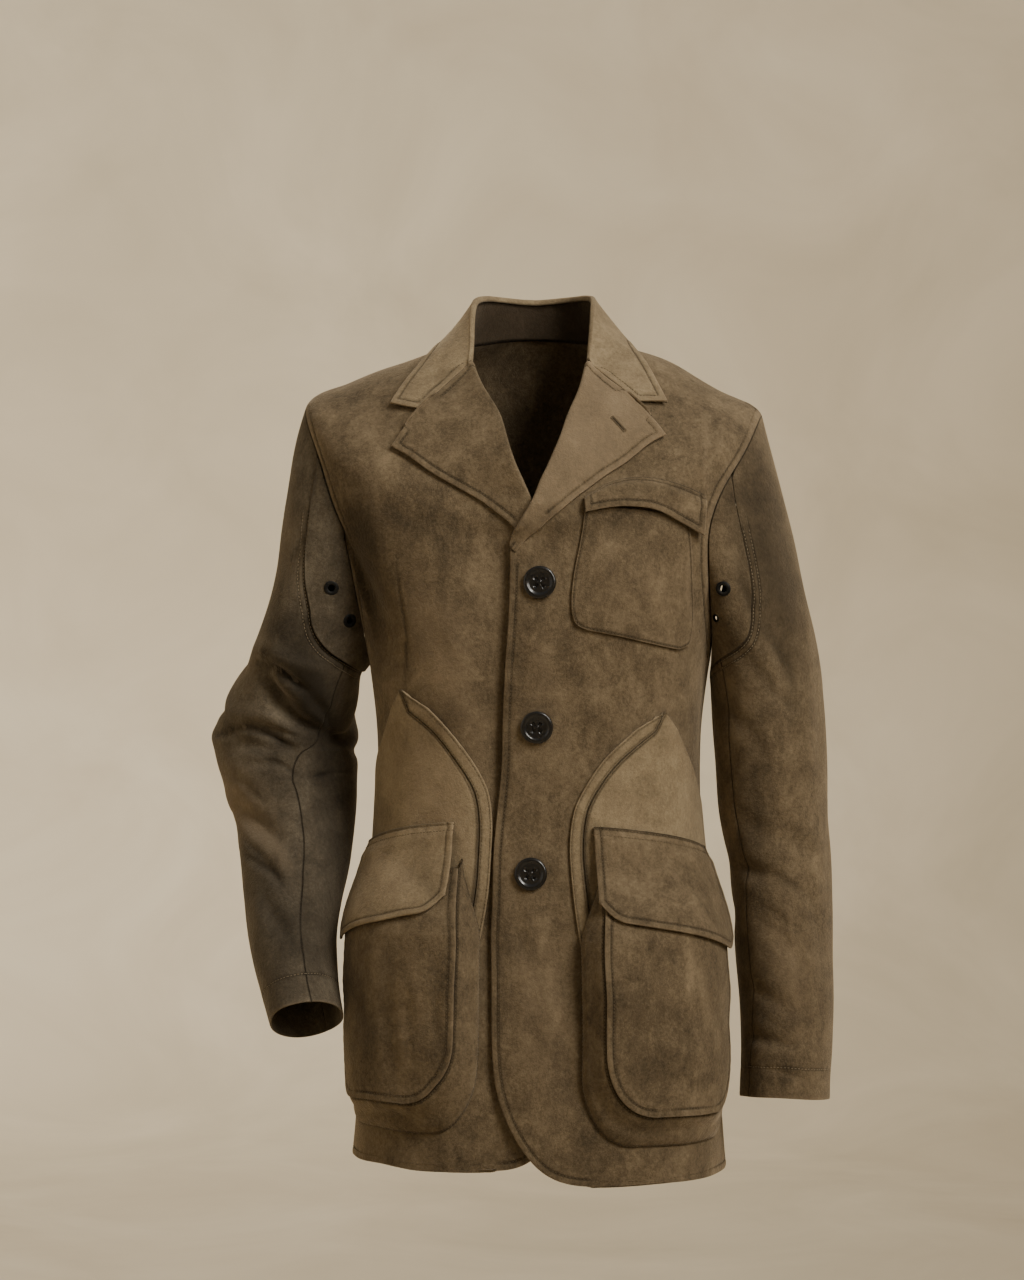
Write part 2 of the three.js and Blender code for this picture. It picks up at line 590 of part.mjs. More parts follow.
// Lapels lie on the fronts, folded outwards along the roll line.
function lapelPlace(side, u, v) {
  const at = u * (LAPEL.length - 1);
  const rollRow = along(LAPEL, 'rollRow', at);
  const start = { angle: frontEdgeAngle(rollRow), row: rollRow };
  const drop = LAPEL_DROP[side > 0 ? 'left' : 'right'] * smooth(0, 0.5, u);
  const narrow = LAPEL_NARROWING[side > 0 ? 'left' : 'right'] * smooth(0.3, 1, u);
  const end = { angle: along(LAPEL, 'angle', at) - narrow, row: along(LAPEL, 'row', at) + drop };
  const bow = u ** 6 * Math.sin(Math.PI * v) * (GORGE_BOW.angle - start.angle);
  return {
    angle: mix(start.angle, end.angle, v) + Math.max(0, bow) * 0.8,
    row: mix(start.row, end.row, v),
  };
}
const LAPEL_LIFT = 0.9 + DOUBLE;
function lapelSurface(side, u, v) {
  const { angle, row } = lapelPlace(side, u, v);
  const lift = LAPEL_LIFT + 1.5 * (1 - v) * u + 2.2 * smooth(0.55, 1, u) * smooth(0.4, 1, v);
  return onFront(side, angle, row, lift);
}
function makeLapel(name, side) {
  const surface = (u, v) => lapelSurface(side, u, v);
  const us = spread(12);
  const vs = spread(6);
  add(name, clothWall(surface, () => vec(0, 60, -150), us, vs, DOUBLE));
}

// Collar: a leaf outside the roll line and a stand inside it. v runs from gorge to gorge.
function collarPoint(turn) {
  const side = turn < 0 ? -1 : 1;
  const at = (1 - Math.abs(turn)) * (COLLAR_ROLL.length - 1);
  const roll = vec(
    side * along(COLLAR_ROLL, 'x', at), along(COLLAR_ROLL, 'y', at), along(COLLAR_ROLL, 'z', at),
  );
  const angle = along(COLLAR_ROLL, 'angle', at);
  return { side, at, angle, roll: leaning(roll) };
}
const LEAF_LIFT = 0.9 + DOUBLE;
function leafFrontEdge(side, w) {
  const bend = 0.62;
  const notchGap = 0.7;
  const k = w / bend;
  const first = {
    angle: mix(COLLAR_ROLL[0].angle, NOTCH.angle, k) + Math.sin(Math.PI * clamp01(k)) * 2,
    row: mix(0, NOTCH.row, k),
  };
  const second = {
    angle: mix(NOTCH.angle, LEAF_EDGE[0].angle, (w - bend) / (1 - bend)),
    row: mix(NOTCH.row, LEAF_EDGE[0].row, (w - bend) / (1 - bend)),
  };
  const place = w < bend ? first : second;
  const lift = LAPEL_LIFT + 1.6 + 1.6 * smooth(0.6, 1, w);
  return onFront(side, place.angle + notchGap, place.row, lift);
}
function leafSurface(turn, w) {
  const { side, at, roll } = collarPoint(turn);
  const edge = { angle: along(LEAF_EDGE, 'angle', at), row: along(LEAF_EDGE, 'row', at) };
  const end = edge.angle < 90
    ? onFront(side, edge.angle, edge.row, LEAF_LIFT + 1.2)
    : back(side * edge.angle, edge.row).addScaledVector(
      normalOf(back, side * edge.angle, edge.row, 0.6, 0.04, torsoCore(edge.row)), LEAF_LIFT + 1.2);
  const control = roll.clone().lerp(end, 0.26);
  const away = vec(roll.x, roll.y - 6, 0).normalize();
  control.addScaledVector(away, 1.5).add(vec(0, 0, -8 * smooth(0, 3, at) * smooth(7, 3, at)));
  const a = roll.clone().lerp(control, w);
  const b = control.clone().lerp(end, w);
  const p = a.lerp(b, w);
  const near = smooth(1.9, 0, at);
  return near > 0 ? p.lerp(leafFrontEdge(side, w), near) : p;
}
function makeCollar() {
  const turns = spread(26).map((k) => mix(-1, 1, k)).map((t) => Math.sign(t) * Math.abs(t) ** 0.9);
  const surface = (u, v) => leafSurface(u, v);
  const outer = [];
  const inner = [];
  for (const turn of turns) {
    const outerLine = [];
    const innerLine = [];
    for (const w of [0, 0.16, 0.33, 0.5, 0.62, 0.8, 1]) {
      const p = surface(turn, w);
      const held = (u, v) => surface(Math.max(-1, Math.min(1, u)), clamp01(v));
      const n = normalOf(held, turn, w, 0.004, 0.004, vec(0, 0, -60));
      outerLine.push(p);
      innerLine.push(p.clone().addScaledVector(n, -DOUBLE));
    }
    outer.push(outerLine);
    inner.push(innerLine);
  }
  add('collar_leaf', wallBetween(outer, inner, false));
}
const STAND_INSET = DOUBLE + 0.7;
function standSurface(turn, w) {
  const { side, angle, roll } = collarPoint(turn * 0.965);
  const top = roll.clone();
  const inward = vec(-roll.x, -(roll.y - 8), 0).normalize();
  top.addScaledVector(inward, STAND_INSET).add(vec(0, 0, -1.2));
  const neckline = angle < 90 ? front(side, angle, 0) : back(side * angle, 0);
  neckline.add(vec(0, 0, SEAM_GAP * 1.6)).addScaledVector(inward, 0.6);
  return top.lerp(neckline, w);
}
function makeStand() {
  const turns = spread(24).map((k) => mix(-1, 1, k));
  const outer = [];
  const inner = [];
  for (const turn of turns) {
    const outerLine = [];
    const innerLine = [];
    for (const w of [0, 0.34, 0.67, 1]) {
      const p = standSurface(turn, w);
      const inward = vec(-p.x, -(p.y - 8), 0).normalize();
      outerLine.push(p);
      innerLine.push(p.clone().addScaledVector(inward, CLOTH));
    }
    outer.push(outerLine);
    inner.push(innerLine);
  }
  add('collar_stand', wallBetween(outer, inner, false), SUEDE_DARK);
}

// Sleeves. Angle 0 is the outside of the arm, 90 its front, 180 its inside and 270 its back.
// The ring is sampled at the same steps as the panels' rows, so that both edges have the same chords.
function armholeKnot(side, step) {
  const turn = step * ARMHOLE_STEP * DEGREE;
  const row = SHOULDER_ROW + (UNDERARM_ROW - SHOULDER_ROW) * (1 - Math.cos(turn)) / 2;
  const width = step < ARMHOLE_STEPS ? ARMHOLE_FRONT[side > 0 ? 'left' : 'right'] : ARMHOLE_BACK;
  const angle = side * (90 - width * armholeBow(turn));
  const p = torso(angle, row);
  const n = normalOf(torso, angle, row, 0.6, 0.04, torsoCore(row));
  const away = torso(side * 90, (SHOULDER_ROW + UNDERARM_ROW) / 2).sub(p);
  away.addScaledVector(n, -away.dot(n)).normalize();
  // Under the arm the sleeve runs down outside the panels, so its ring stands off by its own wall.
  const under = ((1 - Math.cos(turn)) / 2) ** 2;
  const lift = 0.35 + (CLOTH + 0.3) * under;
  return { p: p.addScaledVector(n, lift).addScaledVector(away, 1.5 * SEAM_GAP), n };
}
const knots = new Map();
function armholePoint(side, angle) {
  const at = (((angle % 360) + 360) % 360) / ARMHOLE_STEP;
  const i = Math.floor(at);
  const knot = (step) => {
    const key = `${side} ${step % (2 * ARMHOLE_STEPS)}`;
    if (!knots.has(key)) knots.set(key, armholeKnot(side, step % (2 * ARMHOLE_STEPS)));
    return knots.get(key);
  };
  const a = knot(i);
  const b = knot(i + 1);
  return { p: a.p.clone().lerp(b.p, at - i), n: a.n.clone().lerp(b.n, at - i).normalize() };
}
function armFrame(arm, k) {
  const at = (key) => along(arm.rings, key, k);
  const centre = vec(arm.side * at('x'), at('y'), at('z'));
  const ahead = k + 0.05;
  const behind = k - 0.05;
  const tangent = vec(
    arm.side * (along(arm.rings, 'x', ahead) - along(arm.rings, 'x', behind)),
    along(arm.rings, 'y', ahead) - along(arm.rings, 'y', behind),
    along(arm.rings, 'z', ahead) - along(arm.rings, 'z', behind),
  ).normalize();
  const forward = vec(0, -1, 0);
  forward.addScaledVector(tangent, -forward.dot(tangent)).normalize();
  const outward = vec().crossVectors(tangent, forward).multiplyScalar(arm.side).negate();
  if (outward.x * arm.side < 0) outward.negate();
  return { centre, forward, outward, halfWidth: at('halfWidth'), halfDepth: at('halfDepth') };
}
function armRing(arm, k, angle) {
  const f = armFrame(arm, k);
  return f.centre.addScaledVector(f.outward, f.halfWidth * Math.cos(angle * DEGREE))
    .addScaledVector(f.forward, f.halfDepth * Math.sin(angle * DEGREE));
}
const sleeveMap = ([angle, s]) => [angle * SLEEVE_DEGREE_MM, s * SLEEVE_ALONG_MM];
for (const arm of Object.values(ARMS)) {
  arm.mapped = arm.folds.map((f) => ({ ...f, from: [f.angle, f.along], to: [f.toAngle, f.toAlong] }));
}
function sleeve(arm, angle, s) {
  let p;
  if (s < CAP_LENGTH) {
    const k = s / CAP_LENGTH;
    const a = armholePoint(arm.side, angle).p;
    const b = armRing(arm, 0, angle);
    const lead = armRing(arm, 0.5, angle).sub(b).multiplyScalar(2 * CAP_LENGTH * 0.8);
    const first = b.clone().sub(a).multiplyScalar(0.9);
    const k2 = k * k;
    const k3 = k2 * k;
    p = a.multiplyScalar(2 * k3 - 3 * k2 + 1).addScaledVector(first, k3 - 2 * k2 + k)
      .addScaledVector(b, 3 * k2 - 2 * k3).addScaledVector(lead, k3 - k2);
  } else {
    p = armRing(arm, s - CAP_LENGTH, angle);
  }
  const f = armFrame(arm, Math.max(0, s - CAP_LENGTH));
  const radial = f.outward.multiplyScalar(Math.cos(angle * DEGREE))
    .addScaledVector(f.forward, Math.sin(angle * DEGREE));
  const under = ((1 - Math.cos(angle * DEGREE)) / 2) ** 3;
  const puff = arm.capPuff * (1 - under) * Math.sin(Math.PI * clamp01(s / CAP_LENGTH));
  const turned = ((angle % 360) + 360) % 360;
  const shown = turned > 330 ? turned - 360 : turned;
  const folds = foldDepth(arm.mapped, [shown, s], sleeveMap) * smooth(0, 0.8, s);
  return p.addScaledVector(radial, puff + folds);
}
function sleeveNormal(arm, angle, s) {
  if (s < 0.02) return armholePoint(arm.side, angle).n;
  const f = armFrame(arm, Math.max(0, s - CAP_LENGTH));
  const p = sleeve(arm, angle, s);
  const inside = s < CAP_LENGTH
    ? sleeve(arm, angle + 180, s).add(p).multiplyScalar(0.5)
    : f.centre;
  const surface = (a, t) => sleeve(arm, a, Math.max(0, t));
  return normalOf(surface, angle, s, 1.2, 0.03, inside);
}
function gussetReach(arm, angle) {
  const a = ((angle % 360) + 360) % 360;
  if (a <= GUSSET[0].angle || a >= GUSSET[GUSSET.length - 1].angle) return 0;
  return arm.gussetScale * along(GUSSET, 'along', rowAt(GUSSET, 'angle', a));
}

const SLEEVE_ROWS = [
  0, 0.06, 0.13, 0.21, 0.28, 0.34, 0.4, 0.46, 0.52, 0.58, 0.65, 0.72, 0.79, 0.86, 0.93, 1,
];
const UPPER_COLUMNS = 16;
const UNDER_COLUMNS = 8;
function frontSeam(arm, s) {
  const list = arm.seamFront;
  const at = Math.min(list.length - 1, Math.max(0, s - CAP_LENGTH));
  const i = Math.min(list.length - 2, Math.floor(at));
  return mix(list[i], list[i + 1], at - i);
}
// Half of the gap between the gusset and the sleeve, as a step along the sleeve.
function halfGapAlong(arm, angle, s) {
  const run = sleeve(arm, angle, s + 0.05).distanceTo(sleeve(arm, angle, s)) / 0.05;
  const slope = ((gussetReach(arm, angle + 3) - gussetReach(arm, angle - 3)) * run) / (6 * SLEEVE_DEGREE_MM);
  return ((SEAM_GAP / 2) * Math.sqrt(1 + slope * slope)) / run;
}
const SLEEVE_SEAM_DEGREES = 0.45;
function sleeveWall(arm, places) {
  const outer = [];
  const inner = [];
  for (const column of places) {
    const outerLine = [];
    const innerLine = [];
    for (const { angle, s } of column) {
      const p = sleeve(arm, angle, s);
      outerLine.push(p);
      innerLine.push(p.clone().addScaledVector(sleeveNormal(arm, angle, s), -CLOTH));
    }
    outer.push(outerLine);
    inner.push(innerLine);
  }
  return wallBetween(outer, inner, false);
}
function makeSleevePanel(name, arm, from, to, columns, trimFrom, trimTo) {
  const places = spread(columns).map((u) => {
    const first = mix(from(CAP_LENGTH), to(CAP_LENGTH), u);
    const reach = gussetReach(arm, first);
    const start = reach > 0 ? reach + halfGapAlong(arm, first, reach) : 0;
    return SLEEVE_ROWS.map((v) => {
      const s = mix(start, CUFF_END, v);
      const trim = u === 0 ? trimFrom : u === 1 ? -trimTo : 0;
      return { angle: mix(from(s), to(s), u) + trim, s };
    });
  });
  add(name, sleeveWall(arm, places));
}
function makeSleeve(label, arm) {
  const seam = (s) => frontSeam(arm, s);
  const half = SLEEVE_SEAM_DEGREES;
  makeSleevePanel(`sleeve_upper_${label}`, arm, () => SEAM_BACK - 360, seam, UPPER_COLUMNS, half, half);
  makeSleevePanel(`sleeve_under_${label}`, arm, seam, () => SEAM_BACK, UNDER_COLUMNS, half, half);
}

// Underarm gussets, each with two eyelets
function toSolid(geometry) {
  const bare = new THREE.BufferGeometry();
  bare.setAttribute('position', geometry.attributes.position.clone());
  if (geometry.index) bare.setIndex(geometry.index.clone());
  const welded = mergeVertices(bare, 1e-4);
  return new wasm.Manifold(new wasm.Mesh({
    numProp: 3,
    vertProperties: Float32Array.from(welded.attributes.position.array),
    triVerts: Uint32Array.from(welded.index.array),
  }));
}
function toGeometry(solid) {
  const mesh = solid.getMesh();
  const geometry = new THREE.BufferGeometry();
  geometry.setAttribute('position', new THREE.Float32BufferAttribute(mesh.vertProperties, 3));
  geometry.setIndex(Array.from(mesh.triVerts));
  geometry.computeVertexNormals();
  return geometry;
}
function placedAlong(geometry, at, direction) {
  const turn = new THREE.Quaternion().setFromUnitVectors(vec(0, 1, 0), direction);
  geometry.applyQuaternion(turn);
  geometry.translate(at.x, at.y, at.z);
  return geometry;
}
function makeGusset(label, arm) {
  const start = GUSSET[0].angle;
  const end = GUSSET[GUSSET.length - 1].angle;
  const steps = Math.round((end - start) / ARMHOLE_STEP);
  const places = spread(steps).map((u) => {
    const angle = u === 0 ? start + 3 : u === 1 ? end - 3 : mix(start, end, u);
    const reach = gussetReach(arm, angle);
    const far = u === 0 || u === 1 ? reach * 0.3 : reach - halfGapAlong(arm, angle, reach);
    return spread(4).map((v) => ({ angle, s: far * v }));
  });
  let solid = toSolid(sleeveWall(arm, places));
  EYELETS.forEach(({ angle, along: s }, i) => {
    const p = sleeve(arm, angle, s);
    const n = sleeveNormal(arm, angle, s);
    const bore = placedAlong(new THREE.CylinderGeometry(EYELET_HOLE, EYELET_HOLE, 14, 14), p, n);
    solid = solid.subtract(toSolid(bore));
    const seat = p.clone().addScaledVector(n, SEAM_GAP + 0.35);
    const profile = [
      [EYELET_HOLE + 0.3, 0], [EYELET_RADIUS, 0], [EYELET_RADIUS - 0.4, 1],
      [EYELET_HOLE + 1.5, 1.3], [EYELET_HOLE + 0.3, 0.6], [EYELET_HOLE + 0.3, 0],
    ].map(([r, h]) => new THREE.Vector2(r, h));
    const ring = placedAlong(new THREE.LatheGeometry(profile, 18), seat, n);
    const name = `eyelet_${label}_${i === 0 ? 'outer' : 'inner'}`;
    add(name, facingOut(weld(ring)), HORN, 0.4).material.metalness = 0.6;
  });
  add(`gusset_${label}`, toGeometry(solid));
}
function weld(geometry) {
  const bare = new THREE.BufferGeometry();
  bare.setAttribute('position', geometry.attributes.position.clone());
  if (geometry.index) bare.setIndex(geometry.index.clone());
  return mergeVertices(bare, 1e-4);
}

// A patch on a front: rows of points given by section angle, torso row and lift.
function makePatch(name, side, placeAt, us, vs, thickness) {
  const outer = [];
  const inner = [];
  for (const u of us) {
    const outerLine = [];
    const innerLine = [];
    for (const v of vs) {
      const { angle, row, lift } = placeAt(u, v);
      const p = front(side, angle, row);
      const n = frontNormal(side, angle, row);
      outerLine.push(p.clone().addScaledVector(n, lift));
      innerLine.push(p.clone().addScaledVector(n, lift - thickness));
    }
    outer.push(outerLine);
    inner.push(innerLine);
  }
  add(name, wallBetween(outer, inner, false));
}
const rowOfHeight = (z) => UNDERARM_ROW + (UNDERARM_Z - z) / SKIRT_STEP;

// Side panels with the hand pocket's welt along their curved front edge
function sidePanelEdge(label, down) {
  const apex = SIDE_PANEL_APEX[label];
  const at = rowAt(SIDE_PANEL, 'down', down);
  return {
    front: along(SIDE_PANEL, 'front', at),
    back: Math.min(88.5, along(SIDE_PANEL, 'back', at)),
    z: mix(apex, SIDE_PANEL_BOTTOM, down),
  };
}
const PANEL_ROWS = [0, 0.05, 0.11, 0.18, 0.26, 0.35, 0.45, 0.6, 0.8, 1];
function weltSpan(label, down) {
  const edge = sidePanelEdge(label, down);
  const span = edge.back - edge.front;
  return { ...edge, weltEnd: edge.front + Math.min(WELT_WIDTH + 7 * (1 - down) ** 6, span * 0.44) };
}
function makeSidePanel(label, side) {
  makePatch(`side_panel_${label}`, side, (u, down) => {
    const { weltEnd, back: end, z } = weltSpan(label, down);
    return { angle: mix(weltEnd + 0.15, end, u), row: rowOfHeight(z), lift: SIDE_PANEL_LIFT };
  }, spread(11), PANEL_ROWS, CLOTH);
  makePatch(`pocket_welt_${label}`, side, (u, down) => {
    const { front: start, weltEnd, z } = weltSpan(label, down);
    return { angle: mix(start, weltEnd - 0.15, u), row: rowOfHeight(z), lift: SIDE_PANEL_LIFT + 0.6 };
  }, spread(2), PANEL_ROWS, CLOTH + 0.6);
}
// How far the side panel raises what lies over it at a point.
function panelLift(label, angle, z) {
  const down = clamp01((SIDE_PANEL_APEX[label] - z) / (SIDE_PANEL_APEX[label] - SIDE_PANEL_BOTTOM));
  const { front: start } = sidePanelEdge(label, down);
  const below = smooth(SIDE_PANEL_BOTTOM - 66, SIDE_PANEL_BOTTOM - 26, z);
  return (SIDE_PANEL_LIFT + 0.6) * smooth(start - 5, start - 1.6, angle) * below;
}

// Hip pockets: a bellows round three sides of a face panel, under a flap
function pocketBulge(angle, z) {
  const down = smooth(HIP_FLAP.topFront - 18, -566, z);
  const bottom = 1 - 0.2 * smooth(-650, -716, z);
  return POCKET_DEPTH * down * bottom * (1 - 0.5 * smooth(46, 80, angle));
}
function faceLift(label, angle, z) {
  return panelLift(label, angle, z) + PATCH_GAP + CLOTH + pocketBulge(angle, z);
}
// Its width at a height: narrower up to the flare, and rounded off at the lower corners.
function pocketSpan(box, z) {
  const cornerTop = box.bottom + box.cornerHeight;
  const k = clamp01((cornerTop - z) / box.cornerHeight);
  const cut = box.cornerAngle * (1 - Math.sqrt(Math.max(0, 1 - k * k)));
  const flare = box.flare * (1 - smooth(box.top, box.top - FLARE_HEIGHT, z));
  return { from: box.front + flare + cut, to: box.back - cut };
}
function boxRows(box, straight, corner) {
  const cornerTop = box.bottom + box.cornerHeight;
  const upper = spread(straight).map((k) => mix(box.top, cornerTop, k ** 1.3));
  const lower = spread(corner).slice(1).map((k) => cornerTop - box.cornerHeight * Math.sin(k * Math.PI / 2));
  return [...upper, ...lower];
}
// Outline of a pocket from its upper front corner, down and round, to its upper back corner.
function boxOutline(box, straight, corner, bottom) {
  const rows = boxRows(box, straight, corner);
  const down = rows.map((z) => ({ angle: pocketSpan(box, z).from, z }));
  const up = rows.map((z) => ({ angle: pocketSpan(box, z).to, z })).reverse();
  const left = down[down.length - 1];
  const right = up[0];
  const inner = spread(bottom).slice(1, -1);
  const flat = inner.map((k) => ({ angle: mix(left.angle, right.angle, k), z: left.z }));
  return [...down, ...flat, ...up];
}
function makeHipPocket(label, side) {
  makePatch(`hip_pocket_face_${label}`, side, (u, z) => {
    const { from, to } = pocketSpan(POCKET_FACE, z);
    const angle = mix(from, to, u);
    return { angle, row: rowOfHeight(z), lift: faceLift(label, angle, z) };
  }, spread(8), boxRows(POCKET_FACE, 6, 5), CLOTH);

  const base = boxOutline(POCKET_BASE, 6, 5, 6);
  const face = boxOutline(POCKET_FACE, 6, 5, 6);
  const outer = [];
  const inner = [];
  const centre = { angle: 47, z: -600 };
  base.forEach((low, i) => {
    const high = face[i];
    const outerLine = [];
    const innerLine = [];
    for (const v of spread(4)) {
      const angle = mix(low.angle, high.angle, v);
      const z = mix(low.z, high.z, v);
      const foot = panelLift(label, angle, z) + SEAM_GAP + 0.5;
      const top = Math.max(foot, faceLift(label, high.angle, high.z) - CLOTH - SEAM_GAP);
      const a = mix(high.angle, angle, 1 + 0.16 * Math.sin(Math.PI * v));
      const lift = mix(foot, top, v ** 0.85);
      const p = onFront(side, a, rowOfHeight(z), lift);
      const inwards = onFront(side, mix(a, centre.angle, 0.2), rowOfHeight(mix(z, centre.z, 0.2)), lift)
        .sub(p).normalize();
      outerLine.push(p);
      innerLine.push(p.clone().addScaledVector(inwards, CLOTH));
    }
    outer.push(outerLine);
    inner.push(innerLine);
  });
  add(`hip_pocket_bellows_${label}`, wallBetween(outer, inner, false));

  const frontShift = side < 0 ? 4.5 : 0;
  makePatch(`hip_flap_${label}`, side, (u, v) => {
    const topZ = mix(HIP_FLAP.topFront, HIP_FLAP.topBack, u ** 1.3);
    const round = 16 * (1 - Math.min(1, u / 0.14, (1 - u) / 0.14)) ** 2;
    const z = topZ - (mix(HIP_FLAP.dropFront, HIP_FLAP.dropBack, u) - round) * v;
    const angle = mix(HIP_FLAP.front + frontShift, HIP_FLAP.back, u);
    const seat = panelLift(label, angle, z) + SEAM_GAP + 0.2 + DOUBLE;
    const over = faceLift(label, angle, z) + 1.2 + DOUBLE + 1.2 * v;
    const lift = mix(seat, over, smooth(0, 0.2, v));
    return { angle, row: rowOfHeight(z), lift };
  }, [0, 0.05, 0.14, 0.28, 0.42, 0.56, 0.7, 0.86, 0.95, 1], [0, 0.1, 0.2, 0.4, 0.6, 0.8, 1], DOUBLE);
}

// Chest pocket and flap on the left front
function makeChestPocket() {
  const pillow = (u, v) => 2.4 * Math.sin(Math.PI * u) * Math.sin(Math.PI * Math.min(1, v));
  makePatch('chest_pocket', 1, (u, v) => {
    const at = rowAt(CHEST_POCKET, 'down', v);
    const x = mix(along(CHEST_POCKET, 'left', at), along(CHEST_POCKET, 'right', at), u);
    const z = mix(along(CHEST_POCKET, 'z', at), along(CHEST_POCKET, 'zRight', at), u);
    return { ...placeOnFront(1, x, z), lift: PATCH_GAP + CLOTH + pillow(u, v) };
  }, spread(8), [0, 0.15, 0.3, 0.46, 0.62, 0.74, 0.84, 0.92, 0.97, 1], CLOTH);
  makePatch('chest_flap', 1, (u, v) => {
    const at = rowAt(CHEST_FLAP, 'along', u);
    const x = mix(along(CHEST_FLAP, 'x', at), along(CHEST_FLAP, 'lowX', at), v);
    const z = mix(along(CHEST_FLAP, 'topZ', at), along(CHEST_FLAP, 'lowZ', at), v);
    const over = PATCH_GAP + CLOTH + SEAM_GAP + 0.6 + DOUBLE + 2 * v;
    const lift = mix(SEAM_GAP + 0.3 + DOUBLE, over, smooth(0, 0.3, v));
    return { ...placeOnFront(1, x, z), lift };
  }, spread(9), [0, 0.3, 0.65, 1], DOUBLE);
}

// Four-hole buttons with a rim round a dished middle
function makeButtons() {
  const profile = [
    [0, 0], [BUTTON_RADIUS - 2.5, 0], [BUTTON_RADIUS, 1.6], [BUTTON_RADIUS, 2.6], [BUTTON_RADIUS - 1.2, 3.8],
    [BUTTON_RADIUS - 3.6, 4], [BUTTON_RADIUS - 5.6, 2.9], [0, 2.5],
  ].map(([r, h]) => new THREE.Vector2(r, h));
  const HOLE_RADIUS = 1.3;
  const HOLE_SPACING = 2.9;
  BUTTON_HEIGHTS.forEach((z, i) => {
    let solid = toSolid(facingOut(weld(new THREE.LatheGeometry(profile, 24))));
    for (const [sx, sz] of [[1, 1], [1, -1], [-1, 1], [-1, -1]]) {
      const hole = new THREE.CylinderGeometry(HOLE_RADIUS, HOLE_RADIUS, 12, 8);
      hole.translate(sx * HOLE_SPACING, 2, sz * HOLE_SPACING);
      solid = solid.subtract(toSolid(hole));
    }
    const place = placeOnFront(1, BUTTON_X[i], z);
    const n = frontNormal(1, place.angle, place.row);
    const at = onFront(1, place.angle, place.row, BUTTON_LIFT[i]);
    const geometry = placedAlong(toGeometry(solid), at, n);
    add(`button_${i + 1}`, facingOut(geometry), HORN, 0.35);
  });
}

makeFront('left', 1);
makeFront('right', -1);
makeBack();
makeLapel('lapel_left', 1);
makeLapel('lapel_right', -1);
makeCollar();
makeStand();
for (const [label, arm] of Object.entries(ARMS)) {
  makeSleeve(label, arm);
  makeGusset(label, arm);
  makeSidePanel(label, arm.side);
  makeHipPocket(label, arm.side);
}
makeChestPocket();
makeButtons();

export default jacket;
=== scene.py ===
import math

import bpy
import numpy as np
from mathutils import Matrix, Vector
from mathutils.bvhtree import BVHTree
from mathutils.kdtree import KDTree


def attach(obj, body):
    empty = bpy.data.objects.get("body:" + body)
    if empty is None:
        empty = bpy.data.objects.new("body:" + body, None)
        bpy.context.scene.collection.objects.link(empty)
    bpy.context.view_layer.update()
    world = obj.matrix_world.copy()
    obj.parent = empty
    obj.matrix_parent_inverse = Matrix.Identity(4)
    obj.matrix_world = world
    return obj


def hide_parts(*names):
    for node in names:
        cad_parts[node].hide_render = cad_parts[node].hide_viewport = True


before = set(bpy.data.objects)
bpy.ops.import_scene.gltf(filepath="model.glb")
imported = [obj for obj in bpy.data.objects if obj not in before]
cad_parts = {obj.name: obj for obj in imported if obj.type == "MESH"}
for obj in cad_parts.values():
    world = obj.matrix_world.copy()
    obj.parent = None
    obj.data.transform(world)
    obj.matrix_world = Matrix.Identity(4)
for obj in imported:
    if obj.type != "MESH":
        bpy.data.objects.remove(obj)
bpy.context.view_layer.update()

# The jacket is worked out in millimetres, on the same sections as its solids.
MM = 0.001

# Camera: level, a little to the wearer's left of the middle
CAMERA_TURN = math.radians(4.5)
CAMERA_DISTANCE = 3200
CAMERA_SIDE = -25.5
CAMERA_HEIGHT = -283.5
PIXEL_MM = 0.945  # at the jacket's middle depth
IMAGE_WIDTH = 1024
IMAGE_HEIGHT = 1280
SENSOR_MM = 36
TURN_COS = math.cos(CAMERA_TURN)
TURN_SIN = math.sin(CAMERA_TURN)
CAMERA_PLACE = (
    CAMERA_SIDE * TURN_COS + CAMERA_DISTANCE * TURN_SIN,
    CAMERA_SIDE * TURN_SIN - CAMERA_DISTANCE * TURN_COS,
    CAMERA_HEIGHT,
)

# Cloth
CLOTH = 1.6
DOUBLE = 2.4
SEAM_GAP = 0.4
HEM_Z = -779
UNDERARM_Z = -303
SKIRT_STEP = (UNDERARM_Z - HEM_Z) / 10
BREAK_ROW = 5
SHOULDER_ROW = 4
UNDERARM_ROW = 9
HEM_ROW = 19
ARMHOLE_FRONT = {"left": 36, "right": 29}
ARMHOLE_BACK = 24
ARMHOLE_SKEW = 0.35
OVERLAP_INSET = 7.2
RIGHT_HEM_RISE = 12
LEAN = -5.5
SHOULDER_TILT = -0.024
OPENING_SHIFT = 7
RIGHT_ROLL_SHIFT = 5
LAPEL_DROP = {"left": 0, "right": 0.2}
LAPEL_NARROWING = {"left": 0, "right": 3.4}
CORNER_SIZE = {"left": (94, 154), "right": (70, 118)}
CORNER_POWER = 2.4
SIDES = {"left": 1, "right": -1}

# Stitching, and how the cloth sinks along its seams and edges and darkens there with painted shade
SEAM_STEP = 0.9  # between the points at which a seam is followed
SEAM_REACH = 14
LINE_BREAK = 14  # a longer step ends a row of stitches
# Painted shade in a stitch groove, and painted light on the top of a raised band
GROOVE_SHADE = 1.1
BAND_PAINTED_LIGHT = 0.4
PUCKER_DEPTH = 0.2
PUCKER_WIDTH = 4.5
SEWN_EDGE_SINK = (0.3, 1.3)  # depth and width
SEWN_EDGE_SHADE = (1.1, 0.8)
FREE_EDGE_SINK = (0.25, 0.9)
FREE_EDGE_WEAR = (0.5, 1.9)
RIM_CUT = 0.22  # share of the wall by which its outer and inner corners are rounded
RIM_ROUNDING = ((0.05, 0.16), (0, 0.5), (0.05, 0.84), (RIM_CUT, 1))
STITCH_PITCH = 3.3
STITCH_LENGTH = 2.3
STITCH_WIDTH = 0.66
GROOVE_WIDTH = 1.1
